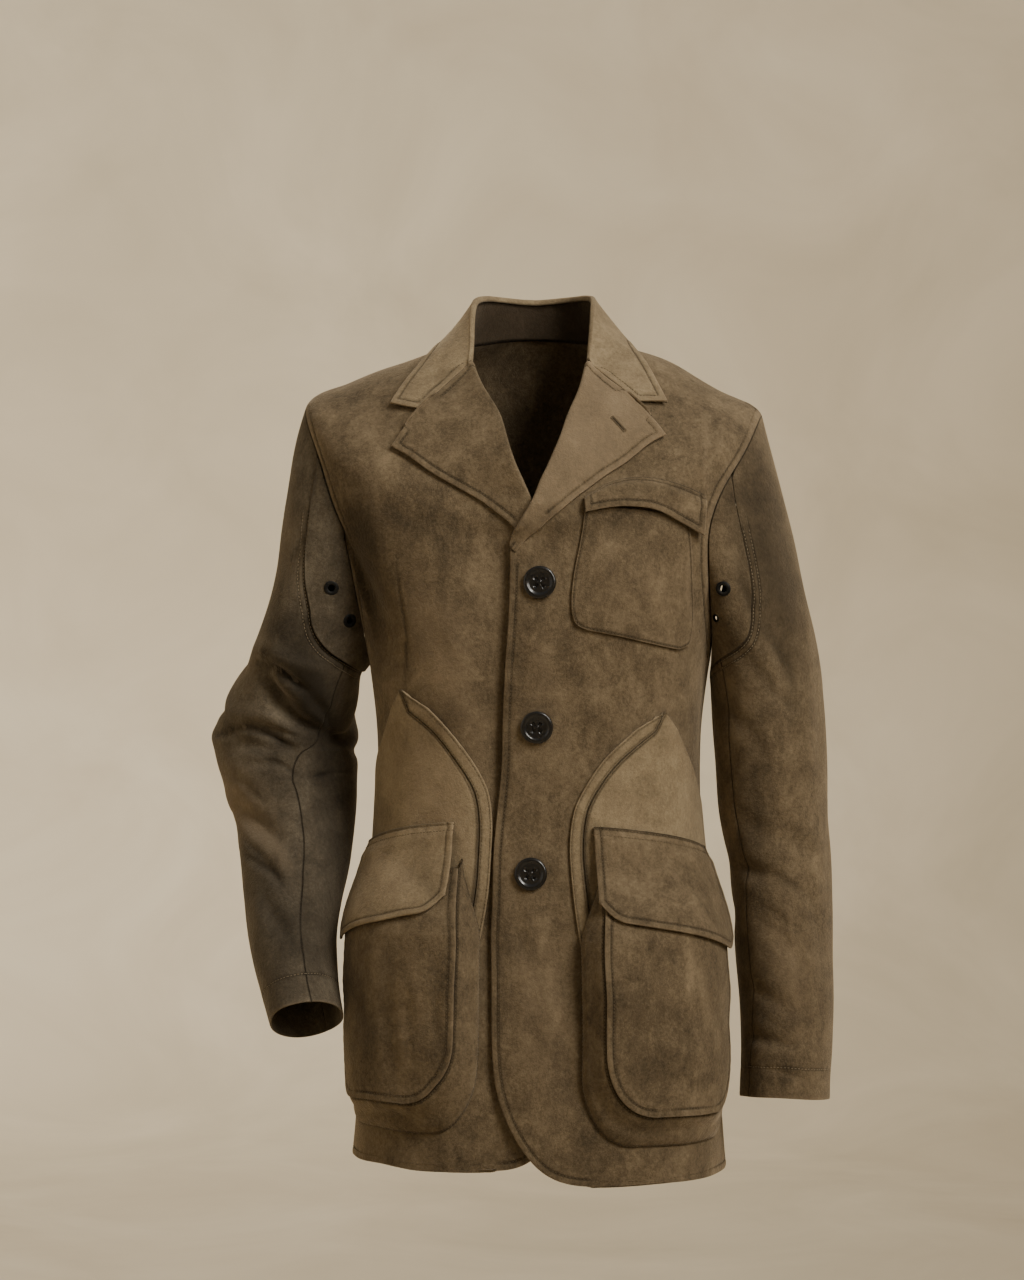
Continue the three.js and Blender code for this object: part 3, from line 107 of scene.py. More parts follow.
EDGE_STITCH = 6.5  # from a faced edge
CLOSE_STITCH = 1.9  # from a seam
ARMHOLE_BAND = 8.5
FELL_WIDTH = 6.2
CUFF_HEM = 28
GUSSET_WIDTH = 205  # laid flat, across its curved long edge


class Table:
    """Rows of named columns, read at a row number or looked up by another column."""

    def __init__(self, names, *rows):
        self.names = names.split()
        self.rows = np.array(rows, float)

    def column(self, name):
        return self.rows[:, self.names.index(name)]

    def smooth(self, name, at):
        c = self.column(name)
        last = len(c) - 1
        i = np.clip(np.floor(at).astype(int), 0, last - 1)
        k = at - i
        p1, p2 = c[i], c[i + 1]
        p0 = np.where(i > 0, c[np.maximum(i - 1, 0)], 2 * p1 - p2)
        p3 = np.where(i + 2 <= last, c[np.minimum(i + 2, last)], 2 * p2 - p1)
        return hermite(p1, p2, (p2 - p0) / 2, (p3 - p1) / 2, k)

    def lookup(self, by, name, at):
        return self._interpolate(self.column(by), self.column(name), at)

    def number(self, by, at):
        x = self.column(by)
        return self._interpolate(x, np.arange(len(x), dtype=float), at)

    @staticmethod
    def _interpolate(x, y, at):
        if x[-1] < x[0]:
            x, y = x[::-1], y[::-1]
        return np.interp(at, x, y)


def hermite(p1, p2, m1, m2, k):
    k2 = k * k
    k3 = k2 * k
    return p1 * (2 * k3 - 3 * k2 + 1) + m1 * (k3 - 2 * k2 + k) + p2 * (3 * k2 - 2 * k3) + m2 * (k3 - k2)


# Torso sections, from the neck to the underarm and then down the skirt
BODICE_ROWS = [
    (68, 8, -3, -64, -62, 66, 6),
    (100, 8, -11, -84, -95, 80, -18),
    (135, 8, -24, -98, -125, 90, -45),
    (175, 7, -43, -107, -150, 98, -75),
    (215, 5, -66, -113, -172, 103, -105),
    (211, 5, -115, -116, -196, 105, -140),
    (199, 4, -165, -118, -222, 105, -180),
    (185, 2, -213, -119, -250, 104, -223),
    (171, 1, -258, -119, -276, 101, -263),
    (161, 0, -303, -118, -303, 98, -303),
]
SKIRT = [
    (155, 114, 92),
    (152, 109, 86),
    (153, 109, 86),
    (157, 112, 92),
    (161, 116, 100),
    (164, 120, 106),
    (167, 124, 110),
    (170, 127, 113),
    (173, 129, 115),
    (176, 131, 116),
]
SKIRT_ROWS = []
for number, (half_width, front_depth, back_depth) in enumerate(SKIRT, 1):
    height = UNDERARM_Z - SKIRT_STEP * number
    SKIRT_ROWS.append((half_width, 0, height, -front_depth, height, back_depth, height))
TORSO = Table("half_width side_y side_z front_y front_z back_y back_z", *BODICE_ROWS, *SKIRT_ROWS)
SECTION_SQUARENESS = 0.05

# Folds: where each starts and ends, its width in millimetres and its depth, which is below 0 for
# a trough. Those of the torso are placed by section angle and row.
FOLD_COLUMNS = "across down to_across to_down width depth"
TORSO_FOLDS = Table(
    FOLD_COLUMNS,
    (7, 13.4, 10, 15.2, 14, -3),
    (-62, 6.2, -50, 8.8, 18, -6),
    (150, 9.5, 158, 13, 18, -4.5),
    (212, 9.8, 200, 12.6, 18, -4),
    (128, 14, 126, 19, 17, -6),
    (176, 13.5, 178, 19, 20, -5),
    (228, 14.5, 232, 19, 17, -6),
    (168, 4.2, 150, 5.6, 12, -1.6),
    (192, 4.4, 211, 5.9, 13, -1.8),
    (140, 7.2, 149, 9.4, 9, -2.2),
    (220, 7.4, 209, 9.6, 10, -2),
    (162, 10.6, 190, 11.3, 10, -1.8),
    (150, 11.7, 176, 12.2, 9, -1.5),
    (152, 14.6, 150, 18.8, 10, 1.6),
    (203, 15, 206, 19, 11, 1.8),
    (112, 12.4, 104, 13.6, 9, -1.4),
    (250, 12.2, 258, 13.7, 9, -1.5),
)
TORSO_DEGREE_MM = 2.4
ANGLE_STEP = 0.6  # by which a surface's direction is measured
ROW_STEP = 0.04
CORE_TOP = -150  # of a line inside the torso, from which its outside is told
CORE_DROP = 60
SEARCH_START = (30.0, 7.0)
SEARCH_ROUNDS = 12

FRONT_EDGE = Table(
    "z x",
    (-196, -16),
    (-260, -20),
    (-340, -25),
    (-410, -28),
    (-470, -33),
    (-550, -36),
    (-625, -36),
    (-800, -36),
)
LAPEL_ROLL = Table(
    "angle x y z",
    (47, 54, -51, -26),
    (32, 47, -70, -50),
    (20.5, 35, -86, -76),
    (14, 27, -100, -100),
    (8, 18, -109, -121),
    (4, 10, -114, -137),
    (1.3, 3, -117, -154),
    (0, -1, -119, -163),
    (-1.5, -6, -119.5, -173),
    (-3, -11, -120, -184),
    (-4.35, -16, -120, -196),
)
COLLAR_ROLL = Table(
    "angle x y z",
    (47, 54, -51, -26),
    (56, 56.5, -38, -8),
    (67, 58, -22, 12),
    (79, 58.5, -5, 29),
    (93, 57.5, 14, 39),
    (112, 50, 35, 43),
    (134, 37, 51, 43.5),
    (157, 19, 60, 43),
    (180, 0, 63, 42.5),
)
LEAF_EDGE = Table(
    "angle row",
    (54.4, 2.38),
    (64, 1.62),
    (74, 1.05),
    (85, 0.82),
    (97, 0.84),
    (115, 0.9),
    (136, 0.93),
    (158, 0.9),
    (180, 0.9),
)
NOTCH_ROW = 1.8
GORGE_BOW_ANGLE = 50
LAPEL = Table(
    "roll_row angle row",
    (5.25, -3.4, 5.4),
    (4.5, 1.4, 4.6),
    (3.75, 7.2, 3.85),
    (3.0, 13.5, 3.33),
    (2.2, 22, 3.03),
    (1.4, 31, 2.94),
    (0.7, 38.6, 2.88),
    (0.0, 44.6, 2.93),
)

# Arms: rings from the biceps to the cuff edge, and folds by angle round the arm and length along it
RING_COLUMNS = "x y z half_width half_depth"
ARM_FORMS = {
    "left": {
        "cap_puff": 3,
        "gusset_scale": 1.28,
        "seam_front": [135, 135, 134, 134, 136, 138, 140, 142, 143],
        "rings": Table(
            RING_COLUMNS,
            (214.5, 10, -335, 52.5, 60),
            (218.5, 12, -385, 53, 58),
            (221, 12, -440, 51.5, 56),
            (227, 9, -492, 48.5, 55),
            (230, 3, -545, 46.5, 54),
            (233, -5, -600, 44.5, 52),
            (233, -12, -655, 42.5, 49),
            (231.5, -16, -690, 41.5, 47),
            (231, -18, -711, 41.5, 46),
        ),
        "folds": Table(
            FOLD_COLUMNS,
            (120, 5.2, 60, 5.9, 11, -4),
            (150, 6.0, 95, 6.35, 9, -4.5),
            (150, 8.1, 90, 8.5, 8, -3.5),
            (145, 9.0, 85, 9.2, 8, -4),
            (60, 1.2, 72, 4.0, 13, -4),
            (250, 5.6, 190, 5.9, 12, -5),
            (240, 6.6, 180, 6.9, 11, -4),
            (300, 1.4, 290, 4.2, 15, -5),
            (20, 2.2, 34, 4.6, 9, -1.7),
            (66, 6.2, 40, 7.6, 9, -1.6),
            (98, 7.2, 70, 7.9, 7, -2),
            (10, 5.4, 30, 6.6, 10, -1.4),
            (110, 9.8, 64, 10.1, 6, -1.6),
            (200, 4.4, 232, 4.8, 8, -2.2),
            (275, 7.4, 310, 8.6, 10, -2),
            (330, 4.8, 345, 7, 11, -1.8),
        ),
    },
    "right": {
        "cap_puff": 7,
        "gusset_scale": 1.1,
        "seam_front": [135, 126, 108, 98, 104, 110, 114, 116, 117],
        "rings": Table(
            RING_COLUMNS,
            (228, 22, -322, 55, 60),
            (242, 36, -362, 67, 60),
            (246, 38, -396, 70, 60),
            (236, 24, -440, 60, 55),
            (231.5, 2, -482, 53.5, 51),
            (231, -21, -522, 46.5, 48),
            (228.5, -44, -561, 41.5, 47),
            (219, -67, -601, 36, 47),
            (209.5, -83, -635, 34, 49),
        ),
        "folds": Table(
            FOLD_COLUMNS,
            (20, 1.2, -20, 2.2, 30, -12),
            (52, 2.75, 118, 3.55, 11, -15),
            (118, 3.55, 165, 4.4, 16, -8),
            (30, 4.62, 78, 4.74, 16, -5),
            (70, 3.85, 100, 4.0, 8, -4),
            (30, 6.2, 72, 7.35, 13, -11),
            (100, 8.0, 125, 9.3, 11, -4),
            (200, 3.4, 150, 4.2, 14, -7),
            (215, 4.6, 165, 5.0, 16, -5),
            (300, 1.6, 275, 4.0, 17, -6),
            (250, 6.4, 320, 7.2, 12, -5),
            (-30, 4.6, 42, 4.62, 8, 3.6),
            (-30, 4.05, 30, 4.1, 8, -3.6),
            (-40, 5.3, 20, 5.2, 16, -4.5),
            (84, 1.0, 70, 2.6, 8, -2.4),
            (60, 5.2, 96, 5.5, 7, -2),
            (16, 5.4, 44, 6.0, 8, -2.2),
            (92, 6.4, 60, 7.0, 8, -2),
            (60, 8.4, 92, 9.4, 8, -2.2),
            (262, 4.5, 300, 4.9, 8, -2.4),
            (330, 5.4, 350, 7.4, 10, -2),
        ),
    },
}
CROOK_ANGLE = 140
CROOK_REACH = 0.8
CAP_LIFT = 0.1  # off the torso, at the shoulder
UNDERARM_LIFT = 1.1  # more than that, under the arm
CAP_INSET = 0.2
ALONG_STEP = 0.05
CAP_LENGTH = 3
CUFF_END = CAP_LENGTH + 8
SEAM_BACK = 255
SLEEVE_DEGREE_MM = 0.92
SLEEVE_ALONG_MM = 50
GUSSET = Table(
    "angle along",
    (45, 0),
    (60, 0.78),
    (75, 1.14),
    (90, 1.34),
    (105, 1.4),
    (120, 1.38),
    (150, 1.25),
    (180, 1.1),
    (210, 0.9),
    (225, 0.6),
    (240, 0),
)
GUSSET_HALF_GAP = 0.05
EYELETS = {"outer": (91, 0.7), "inner": (118, 0.58)}
EYELET_RADIUS = 7
EYELET_HOLE = 3.2
EYELET_LIFT = 0.7

# Pockets
POCKET_COLUMNS = ("front", "back", "top", "bottom", "corner_angle", "corner_height", "flare")
POCKET_BASE = dict(zip(POCKET_COLUMNS, (16, 80, -488, -746, 15, 66, 6.5)))
POCKET_FACE = dict(zip(POCKET_COLUMNS, (22, 71, -497, -717, 14, 58, 1.5)))
FLARE_HEIGHT = 77
POCKET_DEPTH = 28
BULGE_FULL_Z = -566
BULGE_FOOT_Z = (-650, -716)
BULGE_FOOT_LOSS = 0.2
BULGE_BACK_ANGLE = (46, 80)
BULGE_BACK_LOSS = 0.5
BELLOWS_BELLY = 0.16
BELLOWS_FOLD = 2.2
FLAP_CORNER = 16
FLAP_CORNER_SHARE = 0.14
FLAP_STAND_OFF = 1.2  # from the pocket's face, and again that much at its free edge
FLAP_FRONT = 21
FLAP_FRONT_SHIFT = {"left": 0, "right": 4.5}
FLAP_BACK = 76
FLAP_TOP_FRONT = -454
FLAP_TOP_BACK = -476
FLAP_DROP_FRONT = 84
FLAP_DROP_BACK = 101
SIDE_PANEL = Table(
    "down front back",
    (0, 46.5, 47.5),
    (0.07, 36, 54),
    (0.17, 26.5, 62),
    (0.275, 19.6, 74),
    (0.38, 14.9, 86),
    (0.5, 13.2, 88),
    (0.64, 13.2, 88),
    (0.8, 14.4, 88),
    (1, 17, 88),
)
SIDE_PANEL_BOTTOM = -578
SIDE_PANEL_APEX = {"left": -350, "right": -331}
WELT_WIDTH = 4.4
WELT_EXTRA = 0.6  # of its wall
WELT_HALF_GAP = 0.15
PATCH_GAP = 1.35
SIDE_PANEL_LIFT = PATCH_GAP + CLOTH
CHEST_POCKET = Table(
    "down left right z z_right",
    (0, 51, 143, -158, -170),
    (0.3, 46, 146, -194, -208),
    (0.62, 40, 147, -226, -244),
    (0.84, 37.5, 146, -251, -270),
    (0.95, 41, 142.5, -268, -286),
    (1, 53, 133, -275, -291),
)
CHEST_FLAP = Table(
    "along x top_z low_x low_z",
    (0, 48.5, -153, 50.5, -167),
    (0.2, 70, -141, 70, -163.5),
    (0.42, 93, -135, 92, -162.5),
    (0.62, 117, -136, 112, -165),
    (0.82, 140, -142, 134, -176),
    (1, 159, -151, 154, -188),
)

# Creases as the camera sees them: from one pixel to another, with the width and depth in
# millimetres and the tone, which is painted light there, or painted shade below 0. A depth below 0
# is a trough, and one of 0 is a flat patch of painted light, or of painted shade where the tone is below 0.
CREASE_COLUMNS = "px py to_px to_py width depth tone"
FRONT_CREASES = Table(
    CREASE_COLUMNS,
    (400, 572, 408, 692, 1.6, -1.1, -0.9),
    (392, 590, 398, 700, 9, -2.2, -0.1),
    (348, 520, 372, 600, 11, -6, -0.35),
    (372, 590, 384, 680, 10, -3, -0.2),
    (703, 411, 707, 494, 1.5, 0.7, 0.4),
    (711, 415, 714, 492, 6, -1.6, -0.1),
    (516, 898, 526, 962, 9, -2.6, -0.15),
    (655, 668, 663, 730, 3, 0.6, 0.35),
    (690, 655, 700, 780, 6, -1.6, 0.1),
    (520, 610, 516, 700, 12, -1.2, 0),
    (545, 760, 560, 850, 14, -1.3, 0),
    (456, 1146, 458, 1166, 1.6, -1.0, -0.8),
    (470, 500, 455, 560, 15, -1.4, 0),
    (430, 620, 452, 680, 12, -1.3, 0),
    (640, 955, 655, 1010, 1.9, 0.6, 0.3),
    (655, 1010, 650, 1068, 1.9, 0.6, 0.28),
    (676, 960, 694, 1015, 1.9, 0.6, 0.3),
    (694, 1015, 701, 1062, 1.9, 0.6, 0.25),
    (622, 985, 634, 1050, 1.9, 0.6, 0.19),
    (712, 965, 716, 1040, 4, -0.9, -0.1),
    (628, 850, 668, 905, 1.9, 0.6, 0.28),
    (660, 852, 700, 915, 1.9, 0.6, 0.25),
    (608, 850, 634, 900, 1.9, 0.5, 0.17),
    (384, 945, 392, 1085, 8, -2.2, -0.3),
    (412, 950, 420, 1060, 7, 1.1, 0.2),
    (434, 960, 442, 1060, 6, -1.6, -0.2),
    (364, 950, 366, 1020, 6, -1.4, -0.1),
    (395, 862, 430, 880, 8, -0.9, 0),
    (600, 545, 612, 600, 9, 0.8, 0.15),
    (686, 545, 692, 640, 3, 0.8, 0.45),
    (664, 560, 672, 635, 5, -0.8, 0),
    (440, 420, 462, 452, 9, -0.8, -0.1),
    (560, 1085, 620, 1120, 12, -1.2, 0),
    (452, 340, 434, 388, 6, -1.1, -0.15),
    (436, 352, 414, 386, 4.5, 0.8, 0.2),
    (604, 322, 616, 372, 7, -0.9, -0.15),
    (622, 345, 642, 388, 4.5, 0.8, 0.25),
    (470, 372, 440, 400, 5, -0.7, -0.35),
    (578, 395, 600, 450, 12, -1.0, -0.15),
    (600, 400, 640, 430, 6, 0.5, 0.25),
    (440, 385, 432, 405, 4, -0.7, -0.4),
    (548, 985, 552, 1060, 12, 1.0, 0.1),
    (366, 860, 408, 890, 13, 1.3, 0.25),
    (412, 872, 440, 902, 9, -1.4, -0.45),
    (362, 905, 420, 925, 6, -0.8, -0.3),
    (356, 958, 372, 1090, 7, -1.5, -0.45),
    (398, 985, 402, 1075, 6, 1.2, 0.3),
    (372, 600, 378, 760, 10, -2.0, -0.45),
    (392, 700, 384, 800, 7, 1.0, 0.25),
    (372, 800, 380, 846, 6, -0.8, -0.3),
    (424, 790, 470, 850, 8, 0.7, 0.3),
    (506, 640, 500, 860, 5, -0.5, -0.3),
    (534, 640, 556, 700, 8, 0.7, 0.3),
    (560, 700, 590, 760, 16, -0.7, -0.2),
    (520, 940, 528, 1040, 6, 0.6, 0.3),
    (430, 540, 450, 610, 18, -0.9, -0.3),
    (470, 700, 480, 800, 16, 0.8, 0.2),
    (606, 770, 640, 850, 14, 0.8, 0.25),
    (676, 720, 690, 800, 5, 0.7, 0.4),
    (664, 690, 672, 760, 3, 0.5, 0.35),
    (425, 560, 446, 720, 26, 0, 0.7),
    (420, 740, 450, 840, 28, 0, 0.75),
    (370, 880, 430, 885, 24, 0, 0.4),
    (606, 330, 640, 390, 26, 0, 1.0),
    (570, 450, 610, 410, 22, 0, 0.4),
    (620, 560, 670, 620, 30, 0, 0.2),
    (530, 690, 580, 760, 24, 0, 0.25),
    (600, 990, 680, 1050, 26, 0, -0.3),
    (356, 480, 366, 640, 20, 0, -0.7),
    (520, 880, 560, 1120, 24, 0, 0.3),
)
ARM_CREASES = {
    "right": Table(
        CREASE_COLUMNS,
        (262, 662, 308, 690, 4, -8, -1.0),
        (258, 648, 316, 670, 7, 4.5, 0.2),
        (306, 688, 342, 742, 6, -4, -0.5),
        (214, 735, 250, 726, 4, -5, -0.9),
        (250, 726, 294, 748, 4.5, -6, -1.0),
        (222, 712, 284, 718, 8, 3.5, 0.15),
        (236, 826, 288, 892, 5, -3, -0.35),
        (250, 812, 300, 880, 7, 2, 0.2),
        (336, 490, 286, 564, 5, -3.5, -0.4),
        (262, 755, 302, 777, 2.2, -1.6, -0.7),
        (302, 777, 352, 770, 2.2, -1.6, -0.7),
        (225, 772, 264, 802, 6, -2.5, -0.2),
        (302, 800, 312, 960, 9, -1.5, -0.1),
        (306, 420, 296, 520, 7, -1.2, -0.2),
        (318, 640, 352, 668, 5, -2.5, -0.4),
        (262, 900, 300, 950, 7, -1.6, -0.15),
        (236, 792, 290, 900, 15, 1.5, 0.4),
        (242, 850, 284, 884, 4, -3, -0.7),
        (214, 762, 246, 860, 10, 1.2, 0.25),
        (318, 700, 338, 960, 16, -1.5, -0.7),
        (340, 560, 352, 640, 10, -1.5, -0.6),
        (232, 600, 262, 690, 16, 1.5, 0.3),
        (288, 640, 330, 740, 24, 0, -0.9),
        (214, 770, 268, 830, 24, 0, 0.6),
        (262, 880, 310, 960, 28, 0, -0.75),
        (288, 600, 330, 680, 26, 0, -0.5),
        (262, 480, 300, 620, 30, 0, 0.4),
    ),
    "left": Table(
        CREASE_COLUMNS,
        (722, 640, 790, 702, 9, -2.6, -0.2),
        (714, 692, 772, 762, 9, -2, -0.1),
        (760, 800, 812, 852, 9, -1.8, -0.1),
        (752, 900, 802, 985, 10, -1.6, -0.05),
        (798, 560, 822, 700, 7, 1.2, 0.2),
        (738, 556, 757, 640, 5, -2, -0.3),
        (775, 440, 790, 560, 8, -1, -0.1),
        (742, 1000, 800, 1040, 8, -1.4, -0.1),
        (770, 640, 790, 760, 4, 0.8, 0.3),
        (784, 880, 796, 1000, 4, 0.8, 0.25),
        (764, 620, 800, 700, 5, -1.2, -0.35),
        (770, 870, 812, 900, 4, -1.6, -0.45),
        (760, 905, 800, 930, 4, -1.4, -0.4),
        (768, 690, 806, 716, 4, -1.2, -0.35),
        (756, 700, 762, 980, 12, -1.2, -0.4),
        (790, 500, 806, 600, 8, -0.9, -0.25),
        (744, 420, 796, 700, 34, 0, -0.9),
        (770, 900, 800, 1040, 28, 0, 0.4),
    ),
}
CREASE_BEND = 2.2  # pixels by which a crease wavers
CREASE_ENDS = (0.1, 0.9)
FRONT_Y = (-30, -75)  # from where the front's creases start, to where they are full
FACING = (0.05, 0.45)  # how far a sleeve's face is turned to the camera, from none to all of a crease

# A gentle unevenness of all the cloth, layers and stitches together
WAVE_SEED = 11
WAVE_COUNT = 14
WAVE_HEIGHT = 0.42
WAVE_SHORTEST = 48
WAVE_LONGEST = 150


def mix(a, b, k):
    return a + (b - a) * k


def smoothstep(low, high, x):
    k = np.clip((x - low) / (high - low), 0, 1)
    return k * k * (3 - 2 * k)


def bell(away, height, width):
    return height * np.exp(-((away / width) ** 2))


def xyz(x, y, z):
    return np.stack(np.broadcast_arrays(x, y, z), -1).astype(float)


def times(v, k):
    return v * np.asarray(k)[..., None]


def dot(a, b):
    return (a * b).sum(-1)


def unit(v):
    return v / np.maximum(np.linalg.norm(v, axis=-1, keepdims=True), 1e-9)


def share_along(x, y, ax, ay, bx, by):
    """Share of the way from one point to another that is nearest to each place."""
    way = (x - ax) * (bx - ax) + (y - ay) * (by - ay)
    return np.clip(way / ((bx - ax) ** 2 + (by - ay) ** 2), 0, 1)


def fold_depth(folds, across, down, across_mm, down_mm):
    depth = np.zeros(np.broadcast(across, down).shape)
    x, y = across * across_mm, down * down_mm
    for from_across, from_down, to_across, to_down, width, amount in folds.rows:
        ax, ay = from_across * across_mm, from_down * down_mm
        bx, by = to_across * across_mm, to_down * down_mm
        k = share_along(x, y, ax, ay, bx, by)
        away2 = (x - mix(ax, bx, k)) ** 2 + (y - mix(ay, by, k)) ** 2
        taper = 0.35 + 0.65 * np.sin(np.pi * mix(0.08, 0.92, k))
        depth += amount * taper * np.exp(-away2 / width**2)
    return depth


def normal_of(surface, u, v, step_u, step_v, inside):
    across = surface(u + step_u, v) - surface(u - step_u, v)
    down = surface(u, v + step_v) - surface(u, v - step_v)
    n = unit(np.cross(across, down))
    return times(n, np.where(dot(n, surface(u, v) - inside) < 0, -1, 1))


# Torso surface. Angle 0 is the centre front, 90 the wearer's left side and 180 the centre back.
def leaning(p):
    share = smoothstep(-250, -110, p[..., 2])
    x = p[..., 0]
    z = p[..., 2] + SHOULDER_TILT * x * share * smoothstep(110, 200, np.abs(x))
    return xyz(x + LEAN * share, p[..., 1], z)


def torso_form(angle, row, side=None):
    s, c = np.sin(np.radians(angle)), np.cos(np.radians(angle))
    swell = 1 + SECTION_SQUARENESS * (2 * s * c) ** 2
    end_y = np.where(c > 0, TORSO.smooth("front_y", row), TORSO.smooth("back_y", row))
    end_z = np.where(c > 0, TORSO.smooth("front_z", row), TORSO.smooth("back_z", row))
    side_y, side_z = TORSO.smooth("side_y", row), TORSO.smooth("side_z", row)
    low = np.maximum(0, row - UNDERARM_ROW) / (HEM_ROW - UNDERARM_ROW)
    ahead = np.where(s < 0, 1.0, 0.0) if side is None else (1 - side) / 2
    rightness = np.where(c > 0, ahead, (1 - s) / 2)
    return xyz(
        TORSO.smooth("half_width", row) * s * swell,
        side_y + (end_y - side_y) * np.abs(c) * swell,
        side_z + (end_z - side_z) * c * c + RIGHT_HEM_RISE * low * rightness,
    )


def torso_core(row):
    return xyz(0, 0, np.minimum(CORE_TOP, TORSO.smooth("side_z", row) - CORE_DROP))


def torso(angle, row, side=None):
    def form(angle, row):
        return torso_form(angle, row, side)

    angle, row = np.broadcast_arrays(np.asarray(angle, float), np.asarray(row, float))
    n = normal_of(form, angle, row, ANGLE_STEP, ROW_STEP, torso_core(row))
    turned = angle % 360
    turned = np.where(turned > 300, turned - 360, turned)
    depth = fold_depth(TORSO_FOLDS, turned, row, TORSO_DEGREE_MM, SKIRT_STEP)
    return leaning(form(angle, row) + times(n, depth))


def torso_normal(angle, row):
    return normal_of(torso, angle, row, ANGLE_STEP, ROW_STEP, torso_core(row))


def armhole_bow(turn):
    return np.sin(turn) * (1 + ARMHOLE_SKEW * np.cos(turn))


def armhole_cut(row, width):
    share = np.clip((row - SHOULDER_ROW) / (UNDERARM_ROW - SHOULDER_ROW), 0, 1)
    return width * armhole_bow(np.arccos(1 - 2 * share))


def front_edge_angle(row, label="left"):
    corner_width, corner_height = CORNER_SIZE[label]
    upper = LAPEL_ROLL.smooth("angle", np.minimum(row, BREAK_ROW) * 2)
    z = TORSO.smooth("front_z", row)
    k = np.clip((HEM_Z + corner_height - z) / corner_height, 0, 1)
    x = FRONT_EDGE.lookup("z", "x", z) + corner_width * (1 - (1 - k**CORNER_POWER) ** (1 / CORNER_POWER))
    lower = np.degrees(np.arcsin(np.clip(x / TORSO.smooth("half_width", row), -1, 1)))
    return np.where(row < BREAK_ROW, upper, lower)


def front(side, angle, row):
    angle, row = np.broadcast_arrays(np.asarray(angle, float), np.asarray(row, float))
    p = torso(side * angle, row, side)
    upper = np.minimum(row, BREAK_ROW)
    edge = front_edge_angle(upper)
    share = np.clip((angle - edge) / (90 - edge), 0, 1)
    roll_x = side * LAPEL_ROLL.smooth("x", upper * 2) + OPENING_SHIFT * np.sin(np.pi * upper / BREAK_ROW)
    if side < 0:
        roll_x = roll_x + RIGHT_ROLL_SHIFT * np.exp(-((upper - 1.2) ** 2))
    roll = leaning(xyz(roll_x, LAPEL_ROLL.smooth("y", upper * 2), LAPEL_ROLL.smooth("z", upper * 2)))
    weight = (1 - share) ** 4 * (1 - smoothstep(BREAK_ROW - 0.8, BREAK_ROW, row))
    p = p + times(roll - torso(side * edge, upper), weight)
    if side < 0:
        p[..., 1] += OVERLAP_INSET * smoothstep(26, 8, angle) * smoothstep(1.6, 3.2, row)
    return p


def front_normal(side, angle, row):
    return normal_of(lambda a, r: front(side, a, r), angle, row, ANGLE_STEP, ROW_STEP, torso_core(row))


def on_front(side, angle, row, lift):
    return front(side, angle, row) + times(front_normal(side, angle, row), lift)


def place_on_front(side, x, z):
    """Section angle and row of the front's points that are seen at x and z from the front."""
    x, z = np.broadcast_arrays(np.asarray(x, float), np.asarray(z, float))
    angle, row = (np.full(x.shape, start) for start in SEARCH_START)
    for _ in range(SEARCH_ROUNDS):
        p = front(side, angle, row)
        by_angle = (front(side, angle + 0.5, row) - p) * 2
        by_row = (front(side, angle, row + 0.05) - p) * 20
        ex, ez = x - p[..., 0], z - p[..., 2]
        det = by_angle[..., 0] * by_row[..., 2] - by_row[..., 0] * by_angle[..., 2]
        angle = angle + np.clip((ex * by_row[..., 2] - by_row[..., 0] * ez) / det, -12, 12)
        row = row + np.clip((by_angle[..., 0] * ez - ex * by_angle[..., 2]) / det, -1.5, 1.5)
    return angle, row


def row_of_height(z):
    return UNDERARM_ROW + (UNDERARM_Z - z) / SKIRT_STEP


# What the camera sees, and the unevenness of the cloth
def seen_from_camera(p):
    """Pixel of the photograph at which a point is seen."""
    across = p[..., 0] * TURN_COS + p[..., 1] * TURN_SIN
    depth = p[..., 1] * TURN_COS - p[..., 0] * TURN_SIN
    scale = CAMERA_DISTANCE / (CAMERA_DISTANCE + depth) / PIXEL_MM
    px = IMAGE_WIDTH / 2 + (across - CAMERA_SIDE) * scale
    py = IMAGE_HEIGHT / 2 - (p[..., 2] - CAMERA_HEIGHT) * scale
    return px, py


def crease_parts(creases, p):
    """Depth and tone of some creases at some points, as the camera sees them: the tone is painted light, or
    painted shade below 0.
    """
    px, py = seen_from_camera(p)
    depth, tone = np.zeros(px.shape), np.zeros(px.shape)
    for ax, ay, bx, by, width, amount, lighter in creases.rows:
        k = share_along(px, py, ax, ay, bx, by)
        bend = CREASE_BEND * np.sin(k * 7 + ax)
        away2 = ((px - mix(ax, bx, k) - bend) ** 2 + (py - mix(ay, by, k)) ** 2) * PIXEL_MM**2
        near = np.exp(-away2 / width**2) * np.sin(np.pi * mix(*CREASE_ENDS, k))
        depth += amount * near
        tone += lighter * near
    return depth, tone


def front_creases(p):
    ahead = smoothstep(*FRONT_Y, p[..., 1])
    depth, tone = crease_parts(FRONT_CREASES, p)
    return depth * ahead, tone * ahead


waves = np.random.default_rng(WAVE_SEED)
wave_turn = unit(waves.normal(size=(WAVE_COUNT, 3)))
wave_push = unit(waves.normal(size=(WAVE_COUNT, 3)))
wave_length = waves.uniform(WAVE_SHORTEST, WAVE_LONGEST, WAVE_COUNT)
wave_phase = waves.uniform(0, 2 * np.pi, WAVE_COUNT)


def warp(p):
    """Moves points of every layer together, so that no layer comes through another."""
    phase = p @ (wave_turn / wave_length[:, None] * 2 * np.pi).T + wave_phase
    moved = p + WAVE_HEIGHT * (np.sin(phase) @ wave_push)
    moved[..., 1] -= front_creases(p)[0]
    return moved


# Shells of cloth
CELL_SAMPLES = 3000


